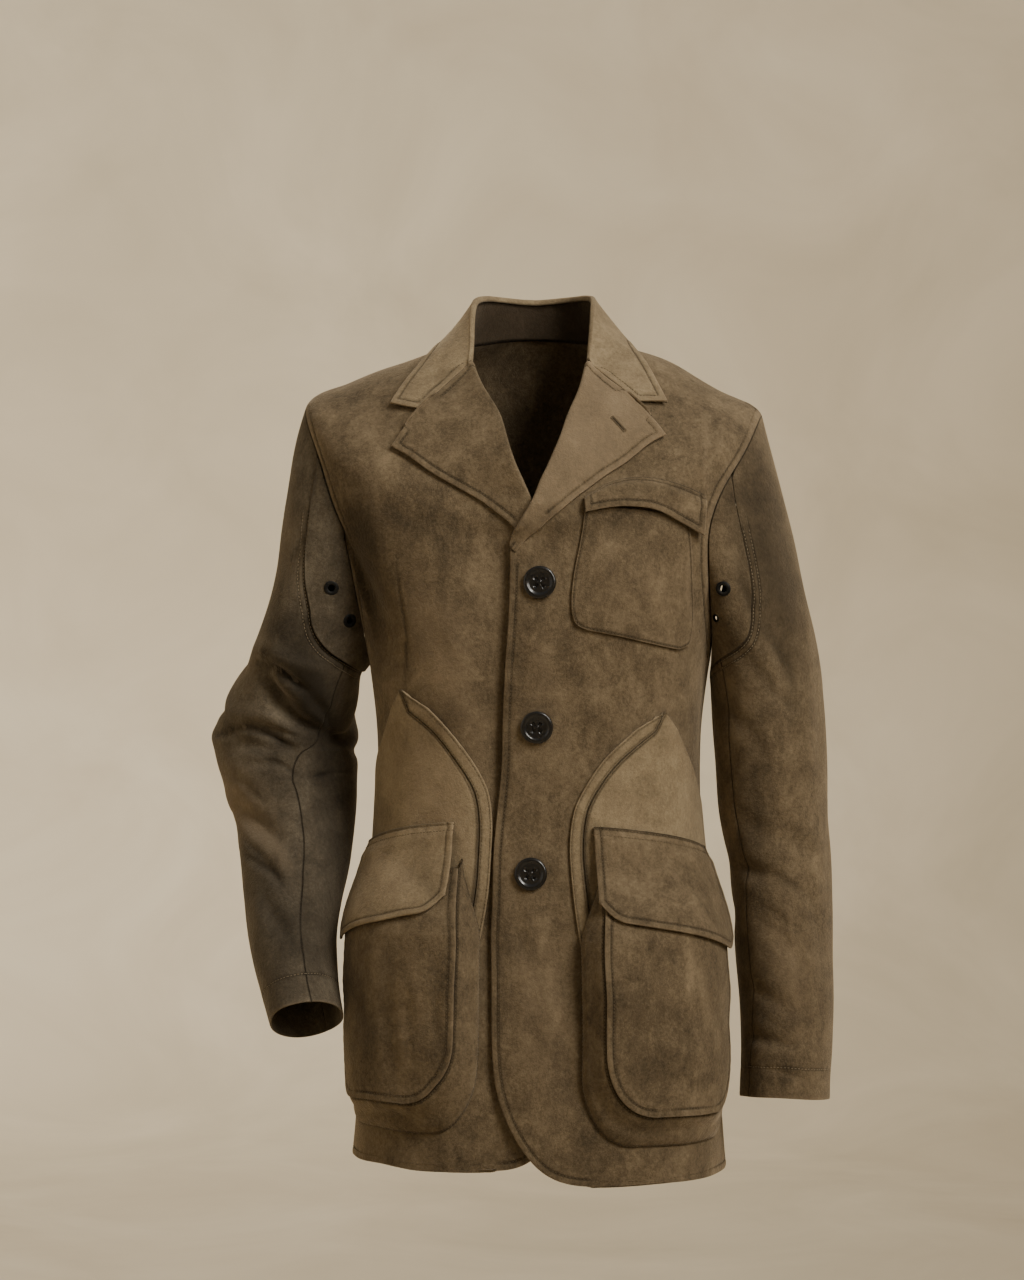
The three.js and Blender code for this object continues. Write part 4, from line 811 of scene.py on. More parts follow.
def cells(length, fine_at=(0, 1), fine=1.15, coarse=2.9, reach=11):
    """Shares of a length, close together round some places and wider apart between them."""
    x = np.linspace(0, length, CELL_SAMPLES)
    away = np.full(x.shape, 1e6)
    for place in fine_at:
        away = np.minimum(away, np.abs(x - place * length))
    size = mix(fine, coarse, smoothstep(reach * 0.7, reach * 2, away))
    count = np.concatenate([[0], np.cumsum(1 / size[1:]) * (x[1] - x[0])])
    return np.interp(np.linspace(0, count[-1], math.ceil(count[-1]) + 1), count, x) / length


def grid_normals(p, inside):
    """Normals that lead away from a place inside. None is the middle line at the panel's height."""
    n = unit(np.cross(np.gradient(p, axis=0), np.gradient(p, axis=1)))
    middle = (p.shape[0] // 2, p.shape[1] // 2)
    inside = (0, 0, p[middle][2]) if inside is None else inside
    return n if dot(n[middle], p[middle] - np.array(inside, float)) > 0 else -n


def resample(line, step):
    lengths = np.concatenate([[0], np.cumsum(np.linalg.norm(np.diff(line, axis=0), axis=1))])
    count = max(2, int(lengths[-1] / step) + 1)
    at = np.linspace(0, lengths[-1], count)
    return np.stack([np.interp(at, lengths, line[:, i]) for i in range(3)], -1)


class Panel:
    """One piece of cloth: a grid of points on its outer face, its wall and its rows of stitches."""

    def __init__(self, name, shape, us, vs, thickness=CLOTH, inside=None, creases=None):
        self.name = name
        u, v = np.meshgrid(us, vs, indexing="ij")
        self.inside = inside
        self.grid = warp(shape(u, v))
        self.thickness = thickness if np.ndim(thickness) else np.full(u.shape, float(thickness))
        self.normals = grid_normals(self.grid, self.inside)
        # The creases' tone is painted light and shade
        self.tone = front_creases(self.grid)[1]
        if creases is not None:
            facing = smoothstep(*FACING, -self.normals[..., 1])
            depth, tone = crease_parts(creases, self.grid)
            self.grid = self.grid + times(self.normals, depth * facing)
            self.normals = grid_normals(self.grid, self.inside)
            self.tone = tone * facing
        self.seams = []
        self.free_edges = ()
        self.widest = None

    def border(self, edge):
        """Points of an edge and the way into the panel there. A minus sign turns the line round."""
        name = edge.strip("-")
        turned = self.grid if name[0] == "u" else self.grid.transpose(1, 0, 2)
        normals = self.normals if name[0] == "u" else self.normals.transpose(1, 0, 2)
        at, nxt = (0, 1) if name[1] == "0" else (-1, -2)
        p, n = turned[at], normals[at]
        run = unit(np.gradient(p, axis=0))
        inward = unit(np.cross(n, run))
        inward = times(inward, np.sign(dot(inward, turned[nxt] - p)))
        return (p[::-1], inward[::-1]) if edge.endswith("-") else (p, inward)

    def inset(self, edges, distance, keep=None):
        """Lines at a distance inside some edges, which turn where those edges meet."""
        borders = [self.border(edge) for edge in edges]
        found = []
        for p, inward in borders:
            line = p + inward * distance
            for other, _ in borders:
                gap = np.linalg.norm(line[:, None] - other[None], axis=-1).min(axis=1)
                line = line[gap > distance * 0.97]
            found.append(line)
        line = np.concatenate(found)
        if keep is not None:
            line = line[keep(line)]
        if len(line) < 2:
            return []
        breaks = np.nonzero(np.linalg.norm(np.diff(line, axis=0), axis=1) > LINE_BREAK)[0] + 1
        return [part for part in np.split(line, breaks) if len(part) > 2]

    def sew(self, lines, groove=0.5, width=GROOVE_WIDTH, stitched=True):
        """A groove along some lines, or a raised band where its depth is below 0."""
        for line in lines:
            self.seams.append((resample(line, SEAM_STEP), groove, width, stitched))

    def edge_distance(self, edges):
        """Distance along the cloth to the nearest of some edges."""
        away = np.full(self.grid.shape[:2], 1e3)
        for edge in edges:
            axis = 0 if edge[0] == "u" else 1
            steps = np.linalg.norm(np.diff(self.grid, axis=axis), axis=-1)
            start = np.zeros_like(steps[:1] if axis == 0 else steps[:, :1])
            run = np.cumsum(np.concatenate([start, steps], axis=axis), axis=axis)
            if edge[1] == "1":
                run = (run[-1:] if axis == 0 else run[:, -1:]) - run
            away = np.minimum(away, run)
        return away

    def press_seams(self, edge_puff):
        """Sinks the cloth along its stitches and sewn edges, and rounds it up inside a free edge. Darkens
        grooves and sewn edges with painted shade, lightens raised bands with painted light and pales free
        edges with wear.
        """
        flat = self.grid.reshape(-1, 3)
        push = np.zeros(len(flat))
        self.tone = self.tone.ravel()
        for line, groove, width, stitched in self.seams:
            tree = KDTree(len(line))
            for i, p in enumerate(line):
                tree.insert(p, i)
            tree.balance()
            low, high = line.min(0) - SEAM_REACH, line.max(0) + SEAM_REACH
            near = np.nonzero(((flat > low) & (flat < high)).all(1))[0]
            for i in near:
                _, at, away = tree.find(flat[i])
                if away < SEAM_REACH:
                    near = math.exp(-((away / width) ** 2))
                    pucker = 0
                    if stitched:
                        pucker = PUCKER_DEPTH * math.sin(at * 0.52 + 1.3 * math.sin(at * 0.11))
                    push[i] += pucker * math.exp(-((away / PUCKER_WIDTH) ** 2)) - groove * near
                    # Painted shade in a groove, painted light on a raised band
                    shade = GROOVE_SHADE if groove > 0 else BAND_PAINTED_LIGHT
                    self.tone[i] -= shade * min(1, groove * 2) * near
        sewn = [edge for edge in ("u0", "u1", "v0", "v1") if edge not in self.free_edges]
        away = self.edge_distance(sewn).ravel()
        push -= bell(away, *SEWN_EDGE_SINK)
        # Painted shade along the sewn edges
        self.tone -= bell(away, *SEWN_EDGE_SHADE)
        away = self.edge_distance(self.free_edges).ravel()
        push += edge_puff * np.sin(np.pi * np.clip(away / EDGE_STITCH, 0, 1))
        push -= bell(away, *FREE_EDGE_SINK)
        self.tone += bell(away, *FREE_EDGE_WEAR)
        self.grid = (flat + times(self.normals.reshape(-1, 3), push)).reshape(self.grid.shape)

    def measure(self, outer):
        """Flat size and area: the longest row across, the longest column down and all cells."""
        across = np.linalg.norm(np.diff(outer, axis=0), axis=-1).sum(0)
        down = np.linalg.norm(np.diff(outer, axis=1), axis=-1).sum(1)
        corner = outer[:-1, :-1]
        cut = np.linalg.norm(np.cross(outer[1:, :-1] - corner, outer[:-1, 1:] - corner), axis=-1)
        widest = across[len(across) // 3 :].max() if self.widest is None else self.widest
        self.flat = (widest * MM, down.max() * MM)
        self.area = min(cut.sum() * MM**2, 0.999 * self.flat[0] * self.flat[1])

    def build(self, material, slot="suede", edge_puff=0.0, inner_step=3):
        """Closes the panel with a rounded rim and a coarser inner face, and adds it to the scene."""
        self.press_seams(edge_puff)
        outer = self.grid
        n = grid_normals(outer, self.inside)
        nu, nv = outer.shape[:2]
        ring = [(i, 0) for i in range(nu)] + [(nu - 1, j) for j in range(1, nv)]
        ring += [(i, nv - 1) for i in range(nu - 2, -1, -1)] + [(0, j) for j in range(nv - 2, 0, -1)]
        ri, rj = np.array(ring).T
        rim, rim_n, rim_t = outer[ri, rj], n[ri, rj], self.thickness[ri, rj]
        centre = outer[np.clip(ri, 1, nu - 2), np.clip(rj, 1, nv - 2)]
        run = unit(np.roll(rim, -1, 0) - np.roll(rim, 1, 0))
        out = np.cross(run, rim_n)
        out = unit(times(out, np.sign(dot(out, rim - centre) + 1e-9)))
        points = [outer.reshape(-1, 3).copy()]
        points[0][ri * nv + rj] -= times(out, RIM_CUT * rim_t)
        for back_off, depth in RIM_ROUNDING:
            points.append(rim - times(out, back_off * rim_t) - times(rim_n, depth * rim_t))
        iu = sorted({0, nu - 1, *range(0, nu - 1, inner_step)})
        iv = sorted({0, nv - 1, *range(0, nv - 1, inner_step)})
        position = {place: k for k, place in enumerate(ring)}
        loops = len(ring)
        first = nu * nv
        last_loop = first + 3 * loops
        index = {place: last_loop + k for place, k in position.items()}
        inner = []
        for i in iu[1:-1]:
            for j in iv[1:-1]:
                index[(i, j)] = first + 4 * loops + len(inner)
                inner.append(outer[i, j] - n[i, j] * self.thickness[i, j])
        points.append(np.array(inner).reshape(-1, 3))
        a = (np.arange(nu - 1)[:, None] * nv + np.arange(nv - 1)).ravel()
        faces = np.stack([a, a + nv, a + nv + 1, a + 1], -1).tolist()
        here = [i * nv + j for i, j in ring]
        for loop in range(4):
            there = [first + loop * loops + k for k in range(loops)]
            for k in range(loops):
                m = (k + 1) % loops
                faces.append([here[m], here[k], there[k], there[m]])
            here = there
        for i0, i1 in zip(iu, iu[1:]):
            for j0, j1 in zip(iv, iv[1:]):
                low = [(i, j0) for i in (range(i0, i1) if j0 == 0 else [i0])]
                right = [(i1, j) for j in (range(j0, j1) if i1 == nu - 1 else [j0])]
                high = [(i, j1) for i in (range(i1, i0, -1) if j1 == nv - 1 else [i1])]
                left = [(i0, j) for j in (range(j1, j0, -1) if i0 == 0 else [j1])]
                faces.append([index[place] for place in [*low, *right, *high, *left][::-1]])
        normal = np.cross(outer[1, 0] - outer[0, 0], outer[0, 1] - outer[0, 0])
        if dot(normal, n[0, 0]) < 0:
            faces = [face[::-1] for face in faces]
        tone = np.zeros(sum(len(part) for part in points))
        tone[: nu * nv] = self.tone
        tone[nu * nv : nu * nv + 2 * loops] = np.tile(self.tone[ri * nv + rj], 2)
        self.measure(outer)
        self.object = make_object(self.name, np.concatenate(points), faces, material, tone)
        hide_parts(self.name)
        self.tree = BVHTree.FromPolygons(outer.reshape(-1, 3).tolist(), faces[: (nu - 1) * (nv - 1)])
        return self


def add_object(name, data):
    made = bpy.data.objects.new(name, data)
    bpy.context.scene.collection.objects.link(made)
    return made


def make_object(name, points, faces, material, tone=None):
    mesh = bpy.data.meshes.new(name)
    mesh.from_pydata((np.asarray(points) * MM).tolist(), [], faces)
    mesh.materials.append(material)
    mesh.polygons.foreach_set("use_smooth", [True] * len(mesh.polygons))
    values = np.zeros(len(mesh.vertices)) if tone is None else tone
    mesh.attributes.new("tone", "FLOAT", "POINT").data.foreach_set("value", values.astype(np.float32))
    mesh.update()
    made = add_object(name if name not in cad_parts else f"cloth_{name}", mesh)
    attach(made, "root")
    return made


# Stitches lie on the finished cloth
STITCH_RINGS = ((-0.5, 0.0, 0.1), (-0.4, 0.8, 0.3), (0, 1.0, 0.5), (0.4, 0.8, 0.3), (0.5, 0.0, 0.1))
STITCH_SIDES = 5


def stitch_rows(panel):
    """Middle, direction and upward way of each stitch of a panel."""
    found = []
    for line, _, _, stitched in panel.seams:
        if not stitched:
            continue
        spots = resample(line, STITCH_PITCH)
        runs = unit(np.gradient(spots, axis=0))
        for spot, run in zip(spots, runs):
            place, normal, _, _ = panel.tree.find_nearest(Vector(spot))
            if place is None:
                continue
            up = np.array(normal)
            found.append((np.array(place), unit(run - up * dot(run, up)), up))
    return found


def make_stitches(name, rows, material, length=STITCH_LENGTH, width=STITCH_WIDTH):
    middle = np.array([r[0] for r in rows])
    run = np.array([r[1] for r in rows])
    up = np.array([r[2] for r in rows])
    side = np.cross(up, run)
    points, ring_start = [], []
    for along, size, height in STITCH_RINGS:
        ring_start.append(len(points))
        turns = range(STITCH_SIDES) if size else range(1)
        for turn in turns:
            angle = 2 * math.pi * turn / STITCH_SIDES
            across = math.cos(angle) * size * width / 2
            rise = math.sin(angle) * size * width / 2 + (height - 0.2) * width
            points.append(middle + run * along * length + side * across + up * rise)
    each = len(points)
    points = np.stack(points, 1).reshape(-1, 3)
    pattern = []
    for a, b in zip(ring_start[1:], ring_start[2:-1]):
        for k in range(STITCH_SIDES):
            m = (k + 1) % STITCH_SIDES
            pattern.append([a + k, a + m, b + m, b + k])
    for k in range(STITCH_SIDES):
        m = (k + 1) % STITCH_SIDES
        pattern.append([ring_start[0], ring_start[1] + m, ring_start[1] + k])
        pattern.append([ring_start[-1], ring_start[-2] + k, ring_start[-2] + m])
    faces = [[start + i for i in face] for start in range(0, len(points), each) for face in pattern]
    return make_object(name, points, faces, material)


# Materials
def new_material(name):
    material = bpy.data.materials.new(name)
    material.use_nodes = True
    tree = material.node_tree
    shader = tree.nodes["Principled BSDF"]
    place = tree.nodes.new("ShaderNodeTexCoord").outputs["Object"]
    return material, tree, shader, place


def set_inputs(node, values):
    for name, value in values.items():
        node.inputs[name].default_value = value


def noise(tree, place, scale, detail=3.0, roughness=0.55, distortion=0.0, stretch=None):
    if stretch is not None:
        mapping = tree.nodes.new("ShaderNodeMapping")
        set_inputs(mapping, {"Scale": stretch})
        tree.links.new(place, mapping.inputs["Vector"])
        place = mapping.outputs["Vector"]
    node = tree.nodes.new("ShaderNodeTexNoise")
    values = {"Scale": scale, "Detail": detail, "Roughness": roughness, "Distortion": distortion}
    set_inputs(node, values)
    tree.links.new(place, node.inputs["Vector"])
    return node.outputs["Fac"]


def math_node(tree, operation, *values):
    node = tree.nodes.new("ShaderNodeMath")
    node.operation = operation
    for socket, value in zip(node.inputs, values):
        if isinstance(value, (int, float)):
            socket.default_value = value
        else:
            tree.links.new(value, socket)
    return node.outputs["Value"]


def weighted(tree, *parts):
    total = 0.0
    for source, weight in parts:
        total = math_node(tree, "MULTIPLY_ADD", source, weight, total)
    return total


def ramp(tree, source, stops):
    node = tree.nodes.new("ShaderNodeValToRGB")
    elements = node.color_ramp.elements
    while len(elements) < len(stops):
        elements.new(0.5)
    for element, (place, color) in zip(elements, stops):
        element.position = place
        element.color = (*color, 1)
    tree.links.new(source, node.inputs["Fac"])
    return node.outputs["Color"]


def blend_color(tree, share, first, second):
    node = tree.nodes.new("ShaderNodeMix")
    node.data_type = "RGBA"
    for socket, value in ((node.inputs[0], share), (node.inputs[6], first), (node.inputs[7], second)):
        if isinstance(value, tuple):
            socket.default_value = (*value, 1)
        else:
            tree.links.new(value, socket)
    return node.outputs[2]


def tone_share(tree, tone, factor, most):
    """Share of a blend that grows with the tone in one direction, up to a limit."""
    scaled = math_node(tree, "MULTIPLY", tone, factor)
    return math_node(tree, "MINIMUM", math_node(tree, "MAXIMUM", scaled, 0.0), most)


def add_bump(tree, shader, height, strength, distance):
    bump = tree.nodes.new("ShaderNodeBump")
    set_inputs(bump, {"Strength": strength, "Distance": distance})
    tree.links.new(height, bump.inputs["Height"])
    tree.links.new(bump.outputs["Normal"], shader.inputs["Normal"])


NAP_STOPS = (0.5, 0.62, 0.74)  # levels of the nap's pattern at the dark, middle and light colors
# The tone darkens the nap with painted shade below 0, and pales it above 0 with wear and painted light
PAINTED_SHADE = (-0.8, 0.85)  # how fast the tone darkens below 0, and how far
WEAR_AND_PAINTED_LIGHT = (0.45, 0.6)  # how fast it pales above 0, and how far
SHADE_DEPTH = 0.35
SUEDE_ROUGHNESS = 0.8
WORN_AND_LIT = (0.36, 0.27, 0.17)


def suede(name, dark, middle, light, sheen=0.45):
    """Napped suede: clouds and brush marks in the nap, painted shade in seams, creases and dark patches, and
    paler wear on free edges with painted light on ridges and light patches.
    """
    material, tree, shader, place = new_material(name)
    clouds = noise(tree, place, 10, 5, 0.62, 0.9)
    patches = noise(tree, place, 38, 6, 0.68, 0.6)
    strokes = noise(tree, place, 90, 4, 0.65, 0.4, stretch=(1, 1, 0.33))
    tufts = noise(tree, place, 330, 3, 0.65, 0.3)
    grain = noise(tree, place, 900, 2, 0.6)
    nap = weighted(tree, (clouds, 0.34), (patches, 0.34), (strokes, 0.16), (tufts, 0.24), (grain, 0.16))
    color = ramp(tree, nap, list(zip(NAP_STOPS, (dark, middle, light))))
    tone = tree.nodes.new("ShaderNodeAttribute")
    tone.attribute_name = "tone"
    # Painted shade where the tone is below 0; wear and painted light where it is above 0
    seam = tone_share(tree, tone.outputs["Fac"], *PAINTED_SHADE)
    wear_and_light = tone_share(tree, tone.outputs["Fac"], *WEAR_AND_PAINTED_LIGHT)
    color = blend_color(tree, seam, color, tuple(SHADE_DEPTH * c for c in dark))
    color = blend_color(tree, wear_and_light, color, WORN_AND_LIT)
    tree.links.new(color, shader.inputs["Base Color"])
    rough = weighted(tree, (patches, 0.12), (grain, 0.1))
    tree.links.new(math_node(tree, "ADD", rough, SUEDE_ROUGHNESS), shader.inputs["Roughness"])
    set_inputs(shader, {"Specular IOR Level": 0.18, "Sheen Weight": sheen})
    set_inputs(shader, {"Sheen Roughness": 0.42, "Sheen Tint": (0.82, 0.68, 0.5, 1)})
    fibres = noise(tree, place, 420, 4, 0.7, 0.3, stretch=(1, 1, 0.6))
    height = weighted(tree, (grain, 0.5), (tufts, 0.8), (fibres, 0.7), (patches, 1.2))
    add_bump(tree, shader, height, 0.5, 0.0015)
    return material


def hard(name, dark, light, roughness, metallic, coat, scale):
    """Polished horn, or blackened metal."""
    material, tree, shader, place = new_material(name)
    veins = noise(tree, place, scale, 4, 0.6, 1.2, stretch=(1, 1, 0.5))
    tree.links.new(ramp(tree, veins, [(0.4, dark), (0.7, light)]), shader.inputs["Base Color"])
    scuffs = noise(tree, place, scale * 6, 3, 0.6)
    rough = math_node(tree, "MULTIPLY_ADD", scuffs, 0.16, roughness - 0.08)
    tree.links.new(rough, shader.inputs["Roughness"])
    set_inputs(shader, {"Metallic": metallic, "Coat Weight": coat, "Coat Roughness": 0.12})
    add_bump(tree, shader, scuffs, 0.12, 0.0002)
    return material


BODY_COLORS = ((0.072, 0.053, 0.031), (0.153, 0.1135, 0.0665), (0.254, 0.193, 0.117))
# Darker copy of the body's suede for the right sleeve: painted shade
SHADED_SLEEVE_COLORS = ((0.056, 0.045, 0.031), (0.106, 0.086, 0.059), (0.18, 0.149, 0.103))
# Lighter copy of the suede for the collar leaf, side panels, welts and right hip flap: partly brushed nap,
# partly painted light
BRUSHED_AND_LIT_COLORS = ((0.165, 0.122, 0.072), (0.256, 0.196, 0.117), (0.36, 0.282, 0.173))
SUEDE = suede("suede_body", *BODY_COLORS)
SUEDE_SHADED = suede("suede_painted_shade", *SHADED_SLEEVE_COLORS, 0.35)
SUEDE_BRUSHED_AND_LIT = suede("suede_brushed_and_lit", *BRUSHED_AND_LIT_COLORS, 0.5)
SUEDE_INSIDE = suede("suede_inside", (0.035, 0.024, 0.014), (0.05, 0.036, 0.022), (0.07, 0.05, 0.032), 0.2)
THREAD = suede("thread", (0.09, 0.066, 0.036), (0.13, 0.097, 0.056), (0.18, 0.135, 0.08), 0.2)
THREAD_PALE = suede("thread_pale", (0.24, 0.19, 0.12), (0.3, 0.24, 0.155), (0.36, 0.29, 0.19), 0.2)
# Near-black thread for the buttons, also used as painted shade in the buttonhole's slit
DARK_THREAD_AND_SLIT_SHADE = suede("dark_thread_and_slit_shade", (0.01, 0.009, 0.008), (0.016, 0.014, 0.012), (0.03, 0.026, 0.02), 0.1)
HORN = hard("horn", (0.005, 0.005, 0.005), (0.012, 0.011, 0.011), 0.3, 0, 0.5, 60)
METAL = hard("blackened_metal", (0.01, 0.01, 0.01), (0.03, 0.029, 0.027), 0.55, 0.6, 0, 150)

panels = {}
groups = {}


def finish_panel(panel, group, material=None, slot="suede", **options):
    panel.build(material or SUEDE, slot, **options)
    panels[panel.name] = panel
    groups.setdefault(group, []).extend(stitch_rows(panel))


# Fronts and back
def shoulder_rows():
    yoke = cells(190, (0,)) * SHOULDER_ROW
    turn = cells(275, (), coarse=3.4) * np.pi
    armhole = SHOULDER_ROW + (UNDERARM_ROW - SHOULDER_ROW) * (1 - np.cos(turn)) / 2
    return np.concatenate([yoke[:-1], armhole])


CUT_START = 0.45  # share of a panel's width beyond which the armhole is cut out of it
BREAK_Z = -214
ARMHOLE_TOP = -60
ARMHOLE_BOTTOM = -300


def panel_angle(edge, cut, u):
    return mix(edge, 90, u) - cut * np.clip((u - CUT_START) / (1 - CUT_START), 0, 1)


def below_break(line):
    return line[:, 2] < BREAK_Z


def at_armhole(line):
    return (line[:, 2] < ARMHOLE_TOP) & (line[:, 2] > ARMHOLE_BOTTOM)


def sew_armhole(panel, edge):
    """The felled band round an armhole, which stands up between its seam and its stitches."""
    panel.sew(panel.inset([edge], ARMHOLE_BAND / 2, at_armhole), -0.4, ARMHOLE_BAND / 3, False)
    panel.sew(panel.inset([edge], ARMHOLE_BAND, at_armhole), 0.6)


def front_rows(label):
    rounding = CORNER_SIZE[label][1] / SKIRT_STEP
    waist = mix(UNDERARM_ROW, HEM_ROW - rounding, cells(322, ()))
    corner = HEM_ROW - rounding * (1 - np.sin(cells(240, (1,)) * np.pi / 2))
    return np.concatenate([shoulder_rows(), waist[1:-1], corner])


BACK_ROWS = np.concatenate([shoulder_rows(), mix(UNDERARM_ROW, HEM_ROW, cells(476, (1,)))[1:]])
DART_SHARE = 0.42

for label, side in SIDES.items():

    def front_shape(u, row, side=side, label=label):
        cut = armhole_cut(row, ARMHOLE_FRONT[label])
        return front(side, panel_angle(front_edge_angle(row, label), cut, u), row)

    fine = (0, 1) if side > 0 else (0, DART_SHARE, 1)
    panel = Panel(f"front_{label}", front_shape, cells(235, fine), front_rows(label))
    panel.free_edges = ("u0", "v1")
    panel.sew(panel.inset(["u0", "v1"], EDGE_STITCH, below_break))
    sew_armhole(panel, "u1")
    finish_panel(panel, "body", edge_puff=0.2)


def back_shape(u, row):
    across = 2 * u - 1
    cut = armhole_cut(row, ARMHOLE_BACK)
    return torso(180 + np.sign(across) * panel_angle(0, cut, np.abs(across)), row)


panel = Panel("back", back_shape, cells(455, (0, 1)), BACK_ROWS)
panel.free_edges = ("v1",)
panel.sew(panel.inset(["v1"], EDGE_STITCH))
sew_armhole(panel, "u0")
sew_armhole(panel, "u1")
finish_panel(panel, "body", edge_puff=0.2)


# Lapels, whose roll goes round the edge of the front
THIN_WALL = 0.5  # where a roll is tucked in
LAPEL_LIFT = 0.9 + DOUBLE
LAPEL_SWELL = 1.5  # at the roll
POINT_LIFT = 2.2  # at the outer corner
ROLL_REACH = 1.9
ROLL_SHARES = -np.linspace(1, 0, 12)[:-1]
LAPEL_PAINTED_LIGHT = 0.75


def lapel_place(label, u, v):
    at = u * (len(LAPEL.rows) - 1)
    roll_row = LAPEL.smooth("roll_row", at)
    start = front_edge_angle(roll_row)
    drop = LAPEL_DROP[label] * smoothstep(0, 0.5, u)
    narrow = LAPEL_NARROWING[label] * smoothstep(0.3, 1, u)
    bow = np.maximum(0, u**6 * np.sin(np.pi * v) * (GORGE_BOW_ANGLE - start))
    angle = mix(start, LAPEL.smooth("angle", at) - narrow, v) + bow * 0.8
    return angle, mix(roll_row, LAPEL.smooth("row", at) + drop, v)


def lapel_shape(label, side, u, v):
    on = np.maximum(v, 0)
    angle, row = lapel_place(label, u, on)
    p, n = front(side, angle, row), front_normal(side, angle, row)
    top = mix(THIN_WALL, LAPEL_LIFT, smoothstep(-0.03, 0.2, u))
    top = top + LAPEL_SWELL * (1 - on) * u + POINT_LIFT * smoothstep(0.55, 1, u) * smoothstep(0.4, 1, on)
    # Below 0, v turns round the roll from the lapel's face to the inside of the front.
    turn = np.clip(-v, 0, 1) * np.pi
    ahead, row_ahead = lapel_place(label, u, on + 0.05)
    out = p - front(side, ahead, row_ahead)
    out = unit(out - times(n, dot(out, n)))
    low = -CLOTH - 0.3
    lift = (top + low) / 2 + (top - low) / 2 * np.cos(turn)
    reach = mix(0.4, ROLL_REACH, smoothstep(0, 0.2, u))
    return p + times(n, lift) + times(out, reach * np.sin(turn))


for label, side in SIDES.items():
    vs = np.concatenate([ROLL_SHARES, cells(62, (1,), coarse=3)])
    us = cells(215, (1,), coarse=3)
    walls = mix(THIN_WALL, DOUBLE, smoothstep(-0.1, 0.12, vs)) * mix(0.4, 1, smoothstep(0, 0.2, us))[:, None]
    panel = Panel(
        f"lapel_{label}",
        lambda u, v, label=label, side=side: lapel_shape(label, side, u, v),
        us,
        vs,
        walls,
        (0, 60, -150),
    )
    panel.free_edges = ("u1", "v1")
    panel.sew(panel.inset(["v1", "u1-"], EDGE_STITCH, lambda line: np.abs(line[:, 0]) > 14))
    # Painted light on the left lapel, growing from its foot to full strength halfway up
    if side > 0:
        panel.tone = panel.tone + LAPEL_PAINTED_LIGHT * smoothstep(0.02, 0.5, us)[:, None]
    finish_panel(panel, "collar", edge_puff=0.35)


# Collar leaf with its roll, and the stand inside it
LEAF_LIFT = 0.9 + DOUBLE
LEAF_BEND = 0.62  # share of the leaf's front edge that is sewn to the lapel
LEAF_FALL = 0.26  # share of the leaf's height at which it turns down
LEAF_SWELL = 1.5
LEAF_HOLLOW = 8
LEAF_TIP_LIFT = 1.6
LEAF_EDGE_LIFT = 1.2
GORGE_GAP = 0.12
STAND_INSET = DOUBLE + 0.7
STAND_TOP_DROP = 1.2
STAND_FOOT_DROP = 0.9
STAND_FOOT_INSET = 2.1
ROLL_RISE = 2.0
ROLL_TUCK = 3.5
UPWARD = np.array([0, 0, 1.0])
STAND_REACH = 0.965  # share of the collar's length that the stand takes up


def collar_point(turn):
    side = np.where(turn < 0, -1, 1)
    at = (1 - np.abs(turn)) * (len(COLLAR_ROLL.rows) - 1)
    x, y, z = (COLLAR_ROLL.smooth(name, at) for name in "xyz")
    return side, at, COLLAR_ROLL.smooth("angle", at), leaning(xyz(side * x, y, z))


def into_neck(roll):
    """Level ways from points of the roll towards the middle of the neck."""
    return unit(roll * np.array([-1, -1, 0]) + np.array([0, 8, 0]))


def by_side(side, surface):
    """A surface of each side, chosen point by point."""
    return np.where(side[..., None] > 0, surface(1), surface(-1))


def leaf_front_edge(side, w):
    """Sewn to the lapel's top edge as far as the notch, and free from there to the tip."""
    k, m = np.clip(w / LEAF_BEND, 0, 1), np.clip((w - LEAF_BEND) / (1 - LEAF_BEND), 0, 1)
    share = k * NOTCH_ROW / LAPEL.rows[-1, 2]
    tip_angle, tip_row = LEAF_EDGE.rows[0]

    def edge(s):
        angle, row = lapel_place("left" if s > 0 else "right", np.ones(w.shape), share)
        angle, row = mix(angle, tip_angle, m), mix(row, tip_row, m)
        lift = LAPEL_LIFT + LAPEL_SWELL * (1 - share) + POINT_LIFT * smoothstep(0.4, 1, share)
        lift = lift + LEAF_TIP_LIFT * smoothstep(0, 1, m)
        return on_front(s, angle + GORGE_GAP, row, lift + 0.1)

    return by_side(side, edge)


def leaf_shape(turn, w):
    on = np.maximum(w, 0)
    side, at, _, roll = collar_point(turn)
    angle, row = LEAF_EDGE.smooth("angle", at), LEAF_EDGE.smooth("row", at)
    lift = np.full(angle.shape, LEAF_LIFT + LEAF_EDGE_LIFT)
    on_fronts = by_side(side, lambda s: on_front(s, np.minimum(angle, 90), row, lift))
    on_back = torso(side * angle, row) + times(torso_normal(side * angle, row), lift)
    end = np.where((angle < 90)[..., None], on_fronts, on_back)
    away = unit(roll * np.array([1, 1, 0]) - np.array([0, 6, 0]))
    control = mix(roll, end, LEAF_FALL) + away * LEAF_SWELL
    control[..., 2] -= LEAF_HOLLOW * smoothstep(0, 3, at) * smoothstep(7, 3, at)
    k = on[..., None]
    p = mix(mix(roll, control, k), mix(control, end, k), k)
    p = mix(p, leaf_front_edge(side, on), smoothstep(1.9, 0, at)[..., None])
    # Below 0, w turns over the roll to the inside of the stand.
    inward = into_neck(roll)
    half = (STAND_INSET + CLOTH + 0.5) / 2
    turned = np.clip(-w, 0, 1) * np.pi
    over = times(inward, half * (1 - np.cos(turned))) + times(UPWARD, ROLL_RISE * np.sin(turned))
    over[..., 2] -= ROLL_TUCK * np.clip(-w - 0.75, 0, 1) / 0.25
    return p + over * (w < 0)[..., None]


